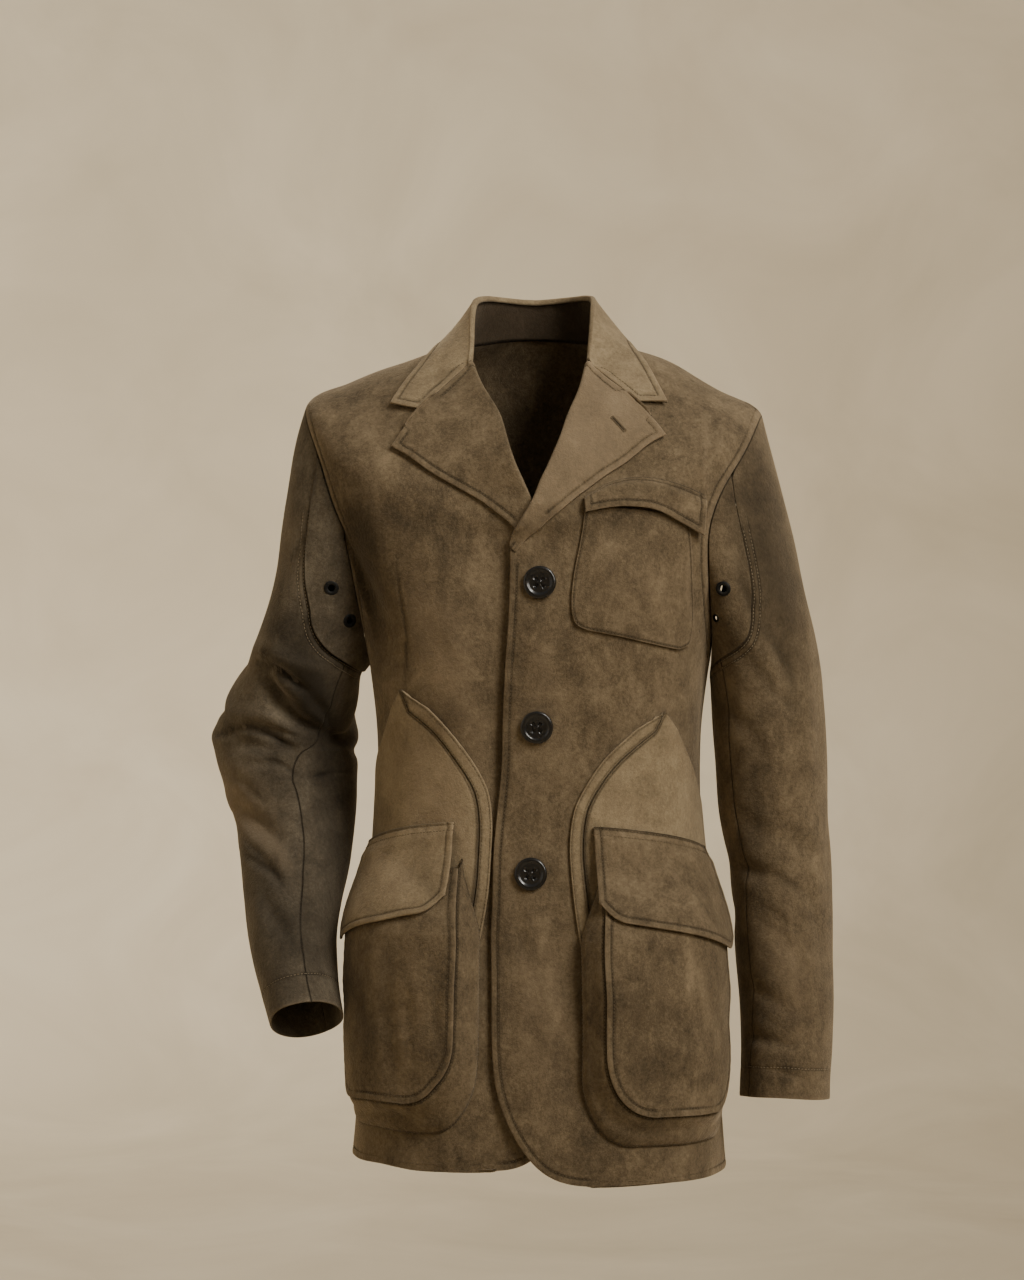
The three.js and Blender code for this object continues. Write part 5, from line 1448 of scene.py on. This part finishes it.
def stand_shape(turn, w):
    side, _, angle, roll = collar_point(turn * STAND_REACH)
    inward = into_neck(roll)
    top = roll + inward * STAND_INSET - UPWARD * STAND_TOP_DROP
    zero = np.zeros(angle.shape)
    neck_front = by_side(side, lambda s: front(s, np.minimum(angle, 90), zero))
    neck = np.where((angle < 90)[..., None], neck_front, torso(side * angle, zero))
    return mix(top, neck - UPWARD * STAND_FOOT_DROP + inward * STAND_FOOT_INSET, w[..., None])


turns = mix(-1, 1, cells(300, (0, 1), coarse=2.8))
leaf_rows = np.concatenate([ROLL_SHARES, cells(66, (1,), coarse=2.8)])
leaf_walls = mix(THIN_WALL, DOUBLE, smoothstep(-0.1, 0.14, leaf_rows))
leaf_walls = np.broadcast_to(leaf_walls, (len(turns), len(leaf_rows)))
panel = Panel("collar_leaf", leaf_shape, turns, leaf_rows, leaf_walls, (0, 0, -60))
panel.free_edges = ("u0", "u1", "v1")
panel.sew(panel.inset(["u0", "v1", "u1-"], EDGE_STITCH, lambda line: line[:, 2] < 60))
finish_panel(panel, "collar", SUEDE_BRUSHED_AND_LIT, edge_puff=0.35)
turns = mix(-1, 1, cells(300, (), coarse=3.6))
panel = Panel("collar_stand", stand_shape, turns, cells(34, ()), -CLOTH, (0, 8, -40))
finish_panel(panel, "collar", SUEDE_INSIDE, slot="suede_inside")


# Sleeves. Angle 0 is the outside of the arm, 90 its front, 180 its inside and 270 its back.
class Arm:
    """A sleeve with its gusset: a cap from the armhole to the first ring, then rings to the cuff."""

    def __init__(self, label, cap_puff, gusset_scale, seam_front, rings, folds):
        self.label, self.side = label, SIDES[label]
        self.cap_puff, self.gusset_scale = cap_puff, gusset_scale
        self.seam_front, self.rings, self.folds = seam_front, rings, folds
        self.degrees = np.arange(0, 361.0)
        self.armhole = self.armhole_ring(np.radians(self.degrees))

    def armhole_ring(self, turn):
        row = SHOULDER_ROW + (UNDERARM_ROW - SHOULDER_ROW) * (1 - np.cos(turn)) / 2
        width = np.where(turn < np.pi, ARMHOLE_FRONT[self.label], ARMHOLE_BACK)
        angle = self.side * (90 - width * armhole_bow(turn))
        p, n = torso(angle, row), torso_normal(angle, row)
        middle = torso(self.side * 90, (SHOULDER_ROW + UNDERARM_ROW) / 2)
        away = middle - p
        away = unit(away - times(n, dot(away, n)))
        under = ((1 - np.cos(turn)) / 2) ** 2
        return p + times(n, CAP_LIFT + UNDERARM_LIFT * under) + away * CAP_INSET

    def armhole_point(self, angle):
        return np.stack([np.interp(angle % 360, self.degrees, self.armhole[:, i]) for i in range(3)], -1)

    def centre(self, k):
        x, y, z = (self.rings.smooth(name, k) for name in "xyz")
        return xyz(self.side * x, y, z)

    def frame(self, k):
        tangent = unit(self.centre(k + ALONG_STEP) - self.centre(k - ALONG_STEP))
        ahead = np.array([0, -1.0, 0])
        forward = unit(ahead - times(tangent, dot(tangent, ahead)))
        outward = np.cross(tangent, forward)
        outward = times(outward, np.sign(outward[..., 0] * self.side))
        return forward, outward

    def plain_ring(self, k, angle):
        forward, outward = self.frame(k)
        wide = self.rings.smooth("half_width", k) * np.cos(np.radians(angle))
        deep = self.rings.smooth("half_depth", k) * np.sin(np.radians(angle))
        return self.centre(k) + times(outward, wide) + times(forward, deep)

    def ring(self, k, angle):
        """Point of a ring. In the crook of the arm the rings are averaged, so that none cross."""
        k, angle = np.broadcast_arrays(np.asarray(k, float), angle)
        p = self.plain_ring(k, angle)
        before, after = self.plain_ring(k - CROOK_REACH, angle), self.plain_ring(k + CROOK_REACH, angle)
        eased = (before + p * 2 + after) / 4
        inner = (1 + np.cos(np.radians(angle - CROOK_ANGLE))) / 2
        share = inner * smoothstep(0.1, 0.9, k) * smoothstep(3.2, 2.2, k) * (self.side < 0)
        return p + times(eased - p, share)

    def surface(self, angle, s):
        angle, s = np.broadcast_arrays(np.asarray(angle, float), np.asarray(s, float))
        k = np.clip(s / CAP_LENGTH, 0, 1)[..., None]
        a, b = self.armhole_point(angle), self.ring(0, angle)
        lead = (self.ring(0.5, angle) - b) * 2 * CAP_LENGTH * 0.8
        cap = hermite(a, b, (b - a) * 0.9, lead, k)
        low = np.maximum(s - CAP_LENGTH, 0)
        p = np.where(s[..., None] < CAP_LENGTH, cap, self.ring(low, angle))
        forward, outward = self.frame(low)
        radial = times(outward, np.cos(np.radians(angle))) + times(forward, np.sin(np.radians(angle)))
        under = ((1 - np.cos(np.radians(angle))) / 2) ** 3
        puff = self.cap_puff * (1 - under) * np.sin(np.pi * k[..., 0])
        turned = angle % 360
        shown = np.where(turned > 330, turned - 360, turned)
        folds = fold_depth(self.folds, shown, s, SLEEVE_DEGREE_MM, SLEEVE_ALONG_MM) * smoothstep(0, 0.8, s)
        return p + times(radial, puff + folds)

    def reach(self, angle):
        """How far the underarm gusset goes down the sleeve."""
        a = np.asarray(angle) % 360
        along = GUSSET.smooth("along", GUSSET.number("angle", a))
        first, last = GUSSET.column("angle")[[0, -1]]
        return np.where((a > first) & (a < last), self.gusset_scale * along, 0)

    def half_gap(self, angle, s):
        """Half the gap between gusset and sleeve, as a length along the sleeve."""
        step = self.surface(angle, s + ALONG_STEP) - self.surface(angle, s)
        run = np.linalg.norm(step, axis=-1) / ALONG_STEP
        slope = (self.reach(angle + 3) - self.reach(angle - 3)) * run / (6 * SLEEVE_DEGREE_MM)
        return GUSSET_HALF_GAP * np.sqrt(1 + slope**2) / run

    def front_seam(self, s):
        return np.interp(s - CAP_LENGTH, np.arange(len(self.seam_front)), self.seam_front)

    def panel_shape(self, first, last):
        def shape(u, v):
            angle = mix(first(CAP_LENGTH), last(CAP_LENGTH), u)
            reach = self.reach(angle)
            start = np.where(reach > 0, reach + self.half_gap(angle, reach), 0)
            s = mix(start, CUFF_END, v)
            return self.surface(mix(first(s), last(s), u), s)

        return shape

    def gusset_shape(self, u, v):
        first, last = GUSSET.column("angle")[[0, -1]]
        angle = mix(first + 0.5, last - 0.5, u)
        reach = self.reach(angle)
        far = np.maximum(reach - self.half_gap(angle, reach), 0.3 * reach)
        return self.surface(angle, far * v)


def lathe(profile, segments):
    points, faces = [], []
    rings = []
    for radius, height in profile:
        rings.append(len(points))
        count = 1 if radius == 0 else segments
        for k in range(count):
            angle = 2 * math.pi * k / segments
            points.append((radius * math.cos(angle), radius * math.sin(angle), height))
    rings.append(len(points))
    for start, nxt, end in zip(rings, rings[1:], rings[2:]):
        for k in range(segments):
            m = (k + 1) % segments
            lower = [start] if nxt - start == 1 else [start + k, start + m]
            upper = [nxt] if end - nxt == 1 else [nxt + m, nxt + k]
            faces.append([*lower, *upper])
    return np.array(points), faces


def axes_across(normal):
    across = unit(np.cross([0, 0, 1.0], normal))
    return across, np.cross(normal, across)


def place_turned(points, at, normal):
    """Points of a turned part, with its axis along a normal and its foot at a point."""
    across, up = axes_across(normal)
    return at + points[:, :1] * across + points[:, 1:2] * up + points[:, 2:3] * np.asarray(normal)


def carve(made, cutters):
    for cutter in cutters:
        modifier = made.modifiers.new("hole", "BOOLEAN")
        modifier.operation = "DIFFERENCE"
        modifier.solver = "EXACT"
        modifier.object = cutter
    graph = bpy.context.evaluated_depsgraph_get()
    mesh = bpy.data.meshes.new_from_object(made.evaluated_get(graph))
    made.modifiers.clear()
    made.data = mesh
    for cutter in cutters:
        bpy.data.objects.remove(cutter)


def cylinder(at, normal, radius, half_length):
    profile = [(0, -half_length), (radius, -half_length), (radius, half_length), (0, half_length)]
    points, faces = lathe(profile, 24)
    mesh = bpy.data.meshes.new("cutter")
    mesh.from_pydata((place_turned(points, at, normal) * MM).tolist(), [], faces)
    return add_object("cutter", mesh)


EYELET_PROFILE = [
    (EYELET_HOLE, -1.9),
    (EYELET_HOLE, 0.5),
    (EYELET_HOLE + 0.35, 1.0),
    (EYELET_HOLE + 1.3, 1.32),
    (EYELET_RADIUS - 1.4, 1.2),
    (EYELET_RADIUS - 0.4, 0.8),
    (EYELET_RADIUS, 0.15),
    (EYELET_RADIUS - 0.5, 0.0),
    (EYELET_HOLE + 0.5, 0.0),
    (EYELET_HOLE + 0.45, -1.9),
    (EYELET_HOLE, -1.9),
]


for label, form in ARM_FORMS.items():
    arm = Arm(label, **form)
    # The right sleeve takes the shaded copy of the suede: painted shade
    material = SUEDE if arm.side > 0 else SUEDE_SHADED
    inside = arm.centre(np.array(4.0))
    rows = cells(610, (0, 1), coarse=2.6)
    upper = arm.panel_shape(lambda s: SEAM_BACK - 360, arm.front_seam)
    lower = arm.panel_shape(arm.front_seam, lambda s: SEAM_BACK)
    seam = arm.front_seam(CAP_LENGTH)
    parts = (("upper", upper, 225, (SEAM_BACK - 360, seam)), ("under", lower, 125, (seam, SEAM_BACK)))
    for name, shape, width, span in parts:
        columns = cells(width, (0, 1), coarse=2.6)
        panel = Panel(f"sleeve_{name}_{label}", shape, columns, rows, CLOTH, inside, ARM_CREASES[label])
        panel.free_edges = ("v1",)
        panel.sew(panel.inset(["v1"], CUFF_HEM))
        us = np.linspace(0, 1, 400)
        beside = arm.reach(mix(*span, us)) > 0.12
        for distance in (CLOSE_STITCH, CLOSE_STITCH + FELL_WIDTH):
            edge, inward = panel.border("v0")
            covered = np.interp(np.linspace(0, 1, len(edge)), us, beside.astype(float)) > 0.5
            line = (edge + inward * distance)[covered]
            if len(line) > 4:
                panel.sew([line])
        finish_panel(panel, f"sleeve_{label}", material)
    across, down = cells(190, (0, 1), coarse=2.6), cells(72, (0, 1), coarse=2.6)
    gusset = Panel(f"gusset_{label}", arm.gusset_shape, across, down, CLOTH, inside, ARM_CREASES[label])
    gusset.widest = GUSSET_WIDTH
    finish_panel(gusset, f"sleeve_{label}", material)
    cutters, rings = [], {}
    for place, (angle, s) in EYELETS.items():
        spot = warp(arm.surface(np.array(float(angle)), np.array(s)))
        at, normal, _, _ = gusset.tree.find_nearest(Vector(spot))
        at, normal = np.array(at), np.array(normal)
        if dot(normal, at - inside) < 0:
            normal = -normal
        cutters.append(cylinder(at, normal, EYELET_HOLE + 0.5, 8))
        points, faces = lathe(EYELET_PROFILE, 40)
        rings[place] = (place_turned(points, at + normal * EYELET_LIFT, normal), faces)
    carve(gusset.object, cutters)
    for place, (points, faces) in rings.items():
        ring = make_object(f"ring_{label}_{place}", points, faces, METAL)
        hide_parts(f"eyelet_{label}_{place}")


# Side panels with the hand pocket's welt, and the hip pockets that lie over them
OUTLINE_COUNT = 260
PATCH_STITCHES = "u0 v1 u1-"
PATCH_FREE = "u0 u1 v1"


def add_pocket_panel(name, shape, us, vs, rows, free="", material=None, edge_puff=0.0, **form):
    """A panel of a pocket. Each row of stitches is given by edges, distance and, if need be, groove."""
    panel = Panel(name, shape, us, vs, **form)
    panel.free_edges = tuple(free.split())
    for edges, distance, *groove in rows:
        panel.sew(panel.inset(edges.split(), distance), *groove)
    finish_panel(panel, "pockets", material, edge_puff=edge_puff)


def side_panel_edge(label, down):
    at = SIDE_PANEL.number("down", down)
    back = np.minimum(88.5, SIDE_PANEL.smooth("back", at))
    return SIDE_PANEL.smooth("front", at), back, mix(SIDE_PANEL_APEX[label], SIDE_PANEL_BOTTOM, down)


def welt_span(label, down):
    start, end, z = side_panel_edge(label, down)
    return start, start + np.minimum(WELT_WIDTH + 7 * (1 - down) ** 6, (end - start) * 0.44), end, z


def panel_lift(label, angle, z):
    apex = SIDE_PANEL_APEX[label]
    start, _, _ = side_panel_edge(label, np.clip((apex - z) / (apex - SIDE_PANEL_BOTTOM), 0, 1))
    below = smoothstep(SIDE_PANEL_BOTTOM - 66, SIDE_PANEL_BOTTOM - 26, z)
    return (SIDE_PANEL_LIFT + WELT_EXTRA) * smoothstep(start - 5, start - 1.6, angle) * below


def pocket_bulge(angle, z):
    """How far the pocket's face stands out: less at the top, near its foot and towards the back."""
    down = smoothstep(FLAP_TOP_FRONT - 18, BULGE_FULL_Z, z)
    bottom = 1 - BULGE_FOOT_LOSS * smoothstep(*BULGE_FOOT_Z, z)
    return POCKET_DEPTH * down * bottom * (1 - BULGE_BACK_LOSS * smoothstep(*BULGE_BACK_ANGLE, angle))


def face_lift(label, angle, z):
    return panel_lift(label, angle, z) + PATCH_GAP + CLOTH + pocket_bulge(angle, z)


def pocket_span(box, z):
    k = np.clip((box["bottom"] + box["corner_height"] - z) / box["corner_height"], 0, 1)
    cut = box["corner_angle"] * (1 - np.sqrt(np.maximum(0, 1 - k * k)))
    flare = box["flare"] * (1 - smoothstep(box["top"], box["top"] - FLARE_HEIGHT, z))
    return box["front"] + flare + cut, box["back"] - cut


def box_rows(box):
    corner_top = box["bottom"] + box["corner_height"]
    upper = mix(box["top"], corner_top, cells(box["top"] - corner_top, (0,), coarse=1.9))
    lower = corner_top - box["corner_height"] * np.sin(cells(95, (1,), coarse=1.8) * np.pi / 2)
    return np.concatenate([upper, lower[1:]])


def box_outline(box, count):
    """Outline from the upper front corner, down and round, to the upper back corner."""
    rows = box_rows(box)
    start, end = pocket_span(box, rows)
    flat = np.linspace(start[-1], end[-1], 40)[1:-1]
    angle = np.concatenate([start, flat, end[::-1]])
    z = np.concatenate([rows, np.full(len(flat), rows[-1]), rows[::-1]])
    steps = np.hypot(np.diff(angle) * TORSO_DEGREE_MM, np.diff(z))
    run = np.concatenate([[0], np.cumsum(steps)])
    at = np.linspace(0, run[-1], count)
    return np.interp(at, run, angle), np.interp(at, run, z)


for label, side in SIDES.items():

    def panel_shape(u, down, label=label, side=side):
        _, welt_end, end, z = welt_span(label, down)
        angle = mix(welt_end + WELT_HALF_GAP, end, u)
        return on_front(side, angle, row_of_height(z), np.full(u.shape, SIDE_PANEL_LIFT))

    def welt_shape(u, down, label=label, side=side):
        start, welt_end, _, z = welt_span(label, down)
        angle = mix(start, welt_end - WELT_HALF_GAP, u)
        return on_front(side, angle, row_of_height(z), np.full(u.shape, SIDE_PANEL_LIFT + WELT_EXTRA))

    def face_shape(u, z, label=label, side=side):
        start, end = pocket_span(POCKET_FACE, z)
        angle = mix(start, end, u)
        return on_front(side, angle, row_of_height(z), face_lift(label, angle, z))

    base_angle, base_z = box_outline(POCKET_BASE, OUTLINE_COUNT)
    top_angle, top_z = box_outline(POCKET_FACE, OUTLINE_COUNT)

    def bellows_shape(u, v, label=label, side=side):
        at = np.linspace(0, 1, OUTLINE_COUNT)
        low_angle, low_z = np.interp(u, at, base_angle), np.interp(u, at, base_z)
        high_angle, high_z = np.interp(u, at, top_angle), np.interp(u, at, top_z)
        angle, z = mix(low_angle, high_angle, v), mix(low_z, high_z, v)
        foot = panel_lift(label, angle, z) + SEAM_GAP + 0.5
        top = np.maximum(foot, face_lift(label, high_angle, high_z) - CLOTH - SEAM_GAP)
        belly = mix(high_angle, angle, 1 + BELLOWS_BELLY * np.sin(np.pi * v))
        fold = bell(v - 0.55, BELLOWS_FOLD, 0.2) * smoothstep(0, 0.2, u) * smoothstep(1, 0.8, u)
        return on_front(side, belly, row_of_height(z), mix(foot, top, v**0.85) - fold)

    def flap_shape(u, v, label=label, side=side):
        top_z = mix(FLAP_TOP_FRONT, FLAP_TOP_BACK, u**1.3)
        beside = np.minimum(1, np.minimum(u, 1 - u) / FLAP_CORNER_SHARE)
        corner_round = FLAP_CORNER * (1 - beside) ** 2
        z = top_z - (mix(FLAP_DROP_FRONT, FLAP_DROP_BACK, u) - corner_round) * v
        angle = mix(FLAP_FRONT + FLAP_FRONT_SHIFT[label], FLAP_BACK, u)
        seat = panel_lift(label, angle, z) + SEAM_GAP + 0.2 + DOUBLE
        over = face_lift(label, angle, z) + FLAP_STAND_OFF + DOUBLE + FLAP_STAND_OFF * v
        return on_front(side, angle, row_of_height(z), mix(seat, over, smoothstep(0, 0.2, v)))

    add_pocket_panel(
        f"side_panel_{label}",
        panel_shape,
        cells(150, (0,), coarse=3.8),
        cells(235, (), coarse=3.2),
        [("u0", CLOSE_STITCH)],
        material=SUEDE_BRUSHED_AND_LIT,
    )
    add_pocket_panel(
        f"pocket_welt_{label}",
        welt_shape,
        cells(13, (0, 1), fine=1.2),
        cells(235, (), coarse=2.4),
        [("u0", CLOSE_STITCH, 0.3), ("u1", CLOSE_STITCH, 0.3)],
        "u0",
        SUEDE_BRUSHED_AND_LIT,
        thickness=CLOTH + WELT_EXTRA,
    )
    add_pocket_panel(
        f"hip_pocket_face_{label}",
        face_shape,
        cells(125, (0, 1), coarse=1.8),
        box_rows(POCKET_FACE),
        [(PATCH_STITCHES, EDGE_STITCH)],
        PATCH_FREE,
        edge_puff=0.3,
    )
    add_pocket_panel(
        f"hip_pocket_bellows_{label}",
        bellows_shape,
        np.linspace(0, 1, 230),
        cells(38, (0, 1), coarse=2.4),
        [("v0", CLOSE_STITCH), ("v1", CLOSE_STITCH)],
        thickness=CLOTH,
        inside=front(side, np.array(47.0), row_of_height(np.array(-600.0))) + np.array([0, 20, 0]),
    )
    add_pocket_panel(
        f"hip_flap_{label}",
        flap_shape,
        cells(135, (0, 1), coarse=3),
        cells(94, (0, 1), coarse=3),
        [(PATCH_STITCHES, EDGE_STITCH), ("v0", CLOSE_STITCH), ("v0", CLOSE_STITCH + FELL_WIDTH)],
        PATCH_FREE,
        SUEDE_BRUSHED_AND_LIT if side < 0 else SUEDE,
        0.4,
        thickness=DOUBLE,
    )


# Chest pocket and flap on the left front
CHEST_PILLOW = 2.4


def chest_pocket_shape(u, v):
    at = CHEST_POCKET.number("down", v)
    x = mix(CHEST_POCKET.smooth("left", at), CHEST_POCKET.smooth("right", at), u)
    z = mix(CHEST_POCKET.smooth("z", at), CHEST_POCKET.smooth("z_right", at), u)
    pillow = CHEST_PILLOW * np.sin(np.pi * u) * np.sin(np.pi * v)
    return on_front(1, *place_on_front(1, x, z), PATCH_GAP + CLOTH + pillow)


def chest_flap_shape(u, v):
    at = CHEST_FLAP.number("along", u)
    x = mix(CHEST_FLAP.smooth("x", at), CHEST_FLAP.smooth("low_x", at), v)
    z = mix(CHEST_FLAP.smooth("top_z", at), CHEST_FLAP.smooth("low_z", at), v)
    over = PATCH_GAP + CLOTH + SEAM_GAP + 0.6 + DOUBLE + 2 * v
    lift = mix(SEAM_GAP + 0.3 + DOUBLE, over, smoothstep(0, 0.3, v))
    return on_front(1, *place_on_front(1, x, z), lift)


add_pocket_panel(
    "chest_pocket",
    chest_pocket_shape,
    cells(120, (0, 1), coarse=3),
    cells(128, (0, 1), coarse=3),
    [(PATCH_STITCHES, CLOSE_STITCH)],
    PATCH_FREE,
)
add_pocket_panel(
    "chest_flap",
    chest_flap_shape,
    cells(120, (0, 1), coarse=3),
    cells(30, (0, 1), coarse=2),
    [(PATCH_STITCHES, EDGE_STITCH), ("v0", CLOSE_STITCH + 2)],
    PATCH_FREE,
    edge_puff=0.4,
    thickness=DOUBLE,
)

# Buttons: a rim round a dished middle, four holes and the thread through them
BUTTON_RADIUS = 15
BUTTON_HEIGHTS = (-232, -363, -496)
BUTTON_X = (8, 6, 1)
BUTTON_LIFT = (0.35, 0.6, 0.45)
HOLE_RADIUS = 1.3
HOLE_SPACING = 2.9
THREAD_WIDTH = 0.8
THREAD_HEIGHT = 2.75
BUTTON_PROFILE = [
    (0, 0),
    (BUTTON_RADIUS - 2.5, 0),
    (BUTTON_RADIUS - 0.9, 0.5),
    (BUTTON_RADIUS - 0.15, 1.4),
    (BUTTON_RADIUS, 2.3),
    (BUTTON_RADIUS - 0.35, 3.2),
    (BUTTON_RADIUS - 1.2, 3.85),
    (BUTTON_RADIUS - 2.4, 4.05),
    (BUTTON_RADIUS - 3.5, 3.9),
    (BUTTON_RADIUS - 4.3, 3.35),
    (BUTTON_RADIUS - 5.0, 2.85),
    (BUTTON_RADIUS - 6.5, 2.6),
    (0, 2.45),
]
button_threads = []
for number, (x, z, lift) in enumerate(zip(BUTTON_X, BUTTON_HEIGHTS, BUTTON_LIFT), 1):
    angle, row = place_on_front(1, np.array(float(x)), np.array(float(z)))
    normal = front_normal(1, angle, row)
    at = warp(on_front(1, angle, row, np.array(lift)))
    points, faces = lathe(BUTTON_PROFILE, 64)
    button = make_object(f"horn_button_{number}", place_turned(points, at, normal), faces, HORN)
    across, up = axes_across(normal)
    holes = []
    for sx in (-1, 1):
        for sz in (-1, 1):
            middle = at + across * sx * HOLE_SPACING + up * sz * HOLE_SPACING
            holes.append(cylinder(middle, normal, HOLE_RADIUS, 9))
    carve(button, holes)
    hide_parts(f"button_{number}")
    for sx in (-1, 1):
        for strand in (-0.45, 0, 0.45):
            middle = at + across * (sx * HOLE_SPACING + strand) + normal * THREAD_HEIGHT
            button_threads.append((middle, up, normal))
make_stitches("button_thread", button_threads, DARK_THREAD_AND_SLIT_SHADE, 2 * HOLE_SPACING + 1.6, THREAD_WIDTH)

# Buttonhole in the left lapel: an oval of close stitches round a slit, which is a near-black strip of
# painted shade
SLIT_FROM = (612, 417)
SLIT_TO = (625, 431)
SLIT_STITCH = 2.0
SLIT_WIDTH = 0.7
SLIT_EASE = 0.6  # of the last stitch beyond each end


def on_lapel(px, py):
    """Point of the left lapel that the camera sees at a pixel."""
    across = (px - IMAGE_WIDTH / 2) * PIXEL_MM + CAMERA_SIDE
    up = (IMAGE_HEIGHT / 2 - py) * PIXEL_MM + CAMERA_HEIGHT
    eye = Vector(CAMERA_PLACE)
    way = Vector((across * TURN_COS, across * TURN_SIN, up)) - eye
    place, normal, _, _ = panels["lapel_left"].tree.ray_cast(eye, way.normalized())
    normal = np.array(normal)
    return np.array(place), normal if normal[1] < 0 else -normal


(start, up), (end, _) = on_lapel(*SLIT_FROM), on_lapel(*SLIT_TO)
run = unit(end - start)
beside = np.cross(up, run)
close = []
for k in np.linspace(0, 1, 26):
    for way in (-1, 1):
        close.append((mix(start, end, k) + beside * way * 1.2, beside, up))
close.append((start - run * SLIT_EASE, beside, up))
close.append((end + run * SLIT_EASE, beside, up))
make_stitches("buttonhole_lapel", close, THREAD, SLIT_STITCH, SLIT_WIDTH)
# The slit's opening is one near-black stitch: painted shade
slit_length = np.linalg.norm(end - start)
make_stitches("buttonhole_slit", [((start + end) / 2, run, up)], DARK_THREAD_AND_SLIT_SHADE, slit_length, SLIT_WIDTH)

for group, rows in groups.items():
    thread = THREAD_PALE if group.startswith("sleeve") else THREAD
    make_stitches(f"topstitching_{group}", rows, thread)

# Stage: a pale floor that runs up into a wall all round
STAGE_RADIUS = 6.5
FLOOR_Z = -1.5
WALL_CURVE = 1.6
WALL_TOP = 4.5
CURVE_STEPS = 12
stage_material, stage_tree, stage_shader, stage_place = new_material("studio_plaster")
stage_tone = noise(stage_tree, stage_place, 1.6, 4, 0.6, 0.8)
stage_color = ramp(stage_tree, stage_tone, [(0.3, (0.6, 0.52, 0.38)), (0.7, (0.71, 0.625, 0.47))])
stage_tree.links.new(stage_color, stage_shader.inputs["Base Color"])
stage_shader.inputs["Roughness"].default_value = 0.95
profile = [(0, FLOOR_Z), (STAGE_RADIUS - WALL_CURVE, FLOOR_Z)]
for k in range(1, CURVE_STEPS + 1):
    turn = math.pi / 2 * k / CURVE_STEPS
    radius = STAGE_RADIUS - WALL_CURVE * (1 - math.sin(turn))
    profile.append((radius, FLOOR_Z + WALL_CURVE * (1 - math.cos(turn))))
profile.append((STAGE_RADIUS, WALL_TOP))
points, faces = lathe(profile, 96)
stage_mesh = bpy.data.meshes.new("studio")
stage_mesh.from_pydata(points.tolist(), [], [face[::-1] for face in faces])
stage_mesh.materials.append(stage_material)
stage_mesh.polygons.foreach_set("use_smooth", [True] * len(stage_mesh.polygons))
studio = add_object("studio", stage_mesh)


def soft_light(name, place, target, width, height, power, color):
    light = bpy.data.lights.new(name, "AREA")
    light.shape = "RECTANGLE"
    light.size, light.size_y = width, height
    light.energy = power
    light.color = color
    made = add_object(name, light)
    made.location = place
    made.rotation_euler = (Vector(target) - Vector(place)).to_track_quat("-Z", "Y").to_euler()


CHEST = (0, 0, -0.35)
WARM_LIGHT = (1.0, 0.95, 0.87)
SUN_WAY = (-1.05, 1.0, -1.1)
SUN_SPREAD = math.radians(24)
sun = bpy.data.lights.new("key", "SUN")
sun.energy = 3.4
sun.angle = SUN_SPREAD
sun.color = WARM_LIGHT
key = add_object("key", sun)
key.rotation_euler = Vector(SUN_WAY).to_track_quat("-Z", "Y").to_euler()
soft_light("fill", (-2.6, -2.2, 0.2), CHEST, 2.2, 2.2, 5, (0.95, 0.97, 1.0))
soft_light("side_key", (1.9, -1.7, 0.7), CHEST, 0.9, 0.9, 24, WARM_LIGHT)
soft_light("rim", (2.4, 1.4, 0.6), CHEST, 0.8, 1.6, 18, (1.0, 0.93, 0.84))
world = bpy.data.worlds.new("studio_air")
world.use_nodes = True
world.node_tree.nodes["Background"].inputs["Color"].default_value = (0.9, 0.88, 0.84, 1)
world.node_tree.nodes["Background"].inputs["Strength"].default_value = 0.22
bpy.context.scene.world = world

camera_data = bpy.data.cameras.new("camera")
camera_data.sensor_width = SENSOR_MM
camera_data.lens = SENSOR_MM * CAMERA_DISTANCE / (IMAGE_HEIGHT * PIXEL_MM)
camera_data.clip_end = 30
camera = add_object("camera", camera_data)
camera.location = [value * MM for value in CAMERA_PLACE]
camera.rotation_euler = (math.pi / 2, 0, CAMERA_TURN)
bpy.context.scene.camera = camera
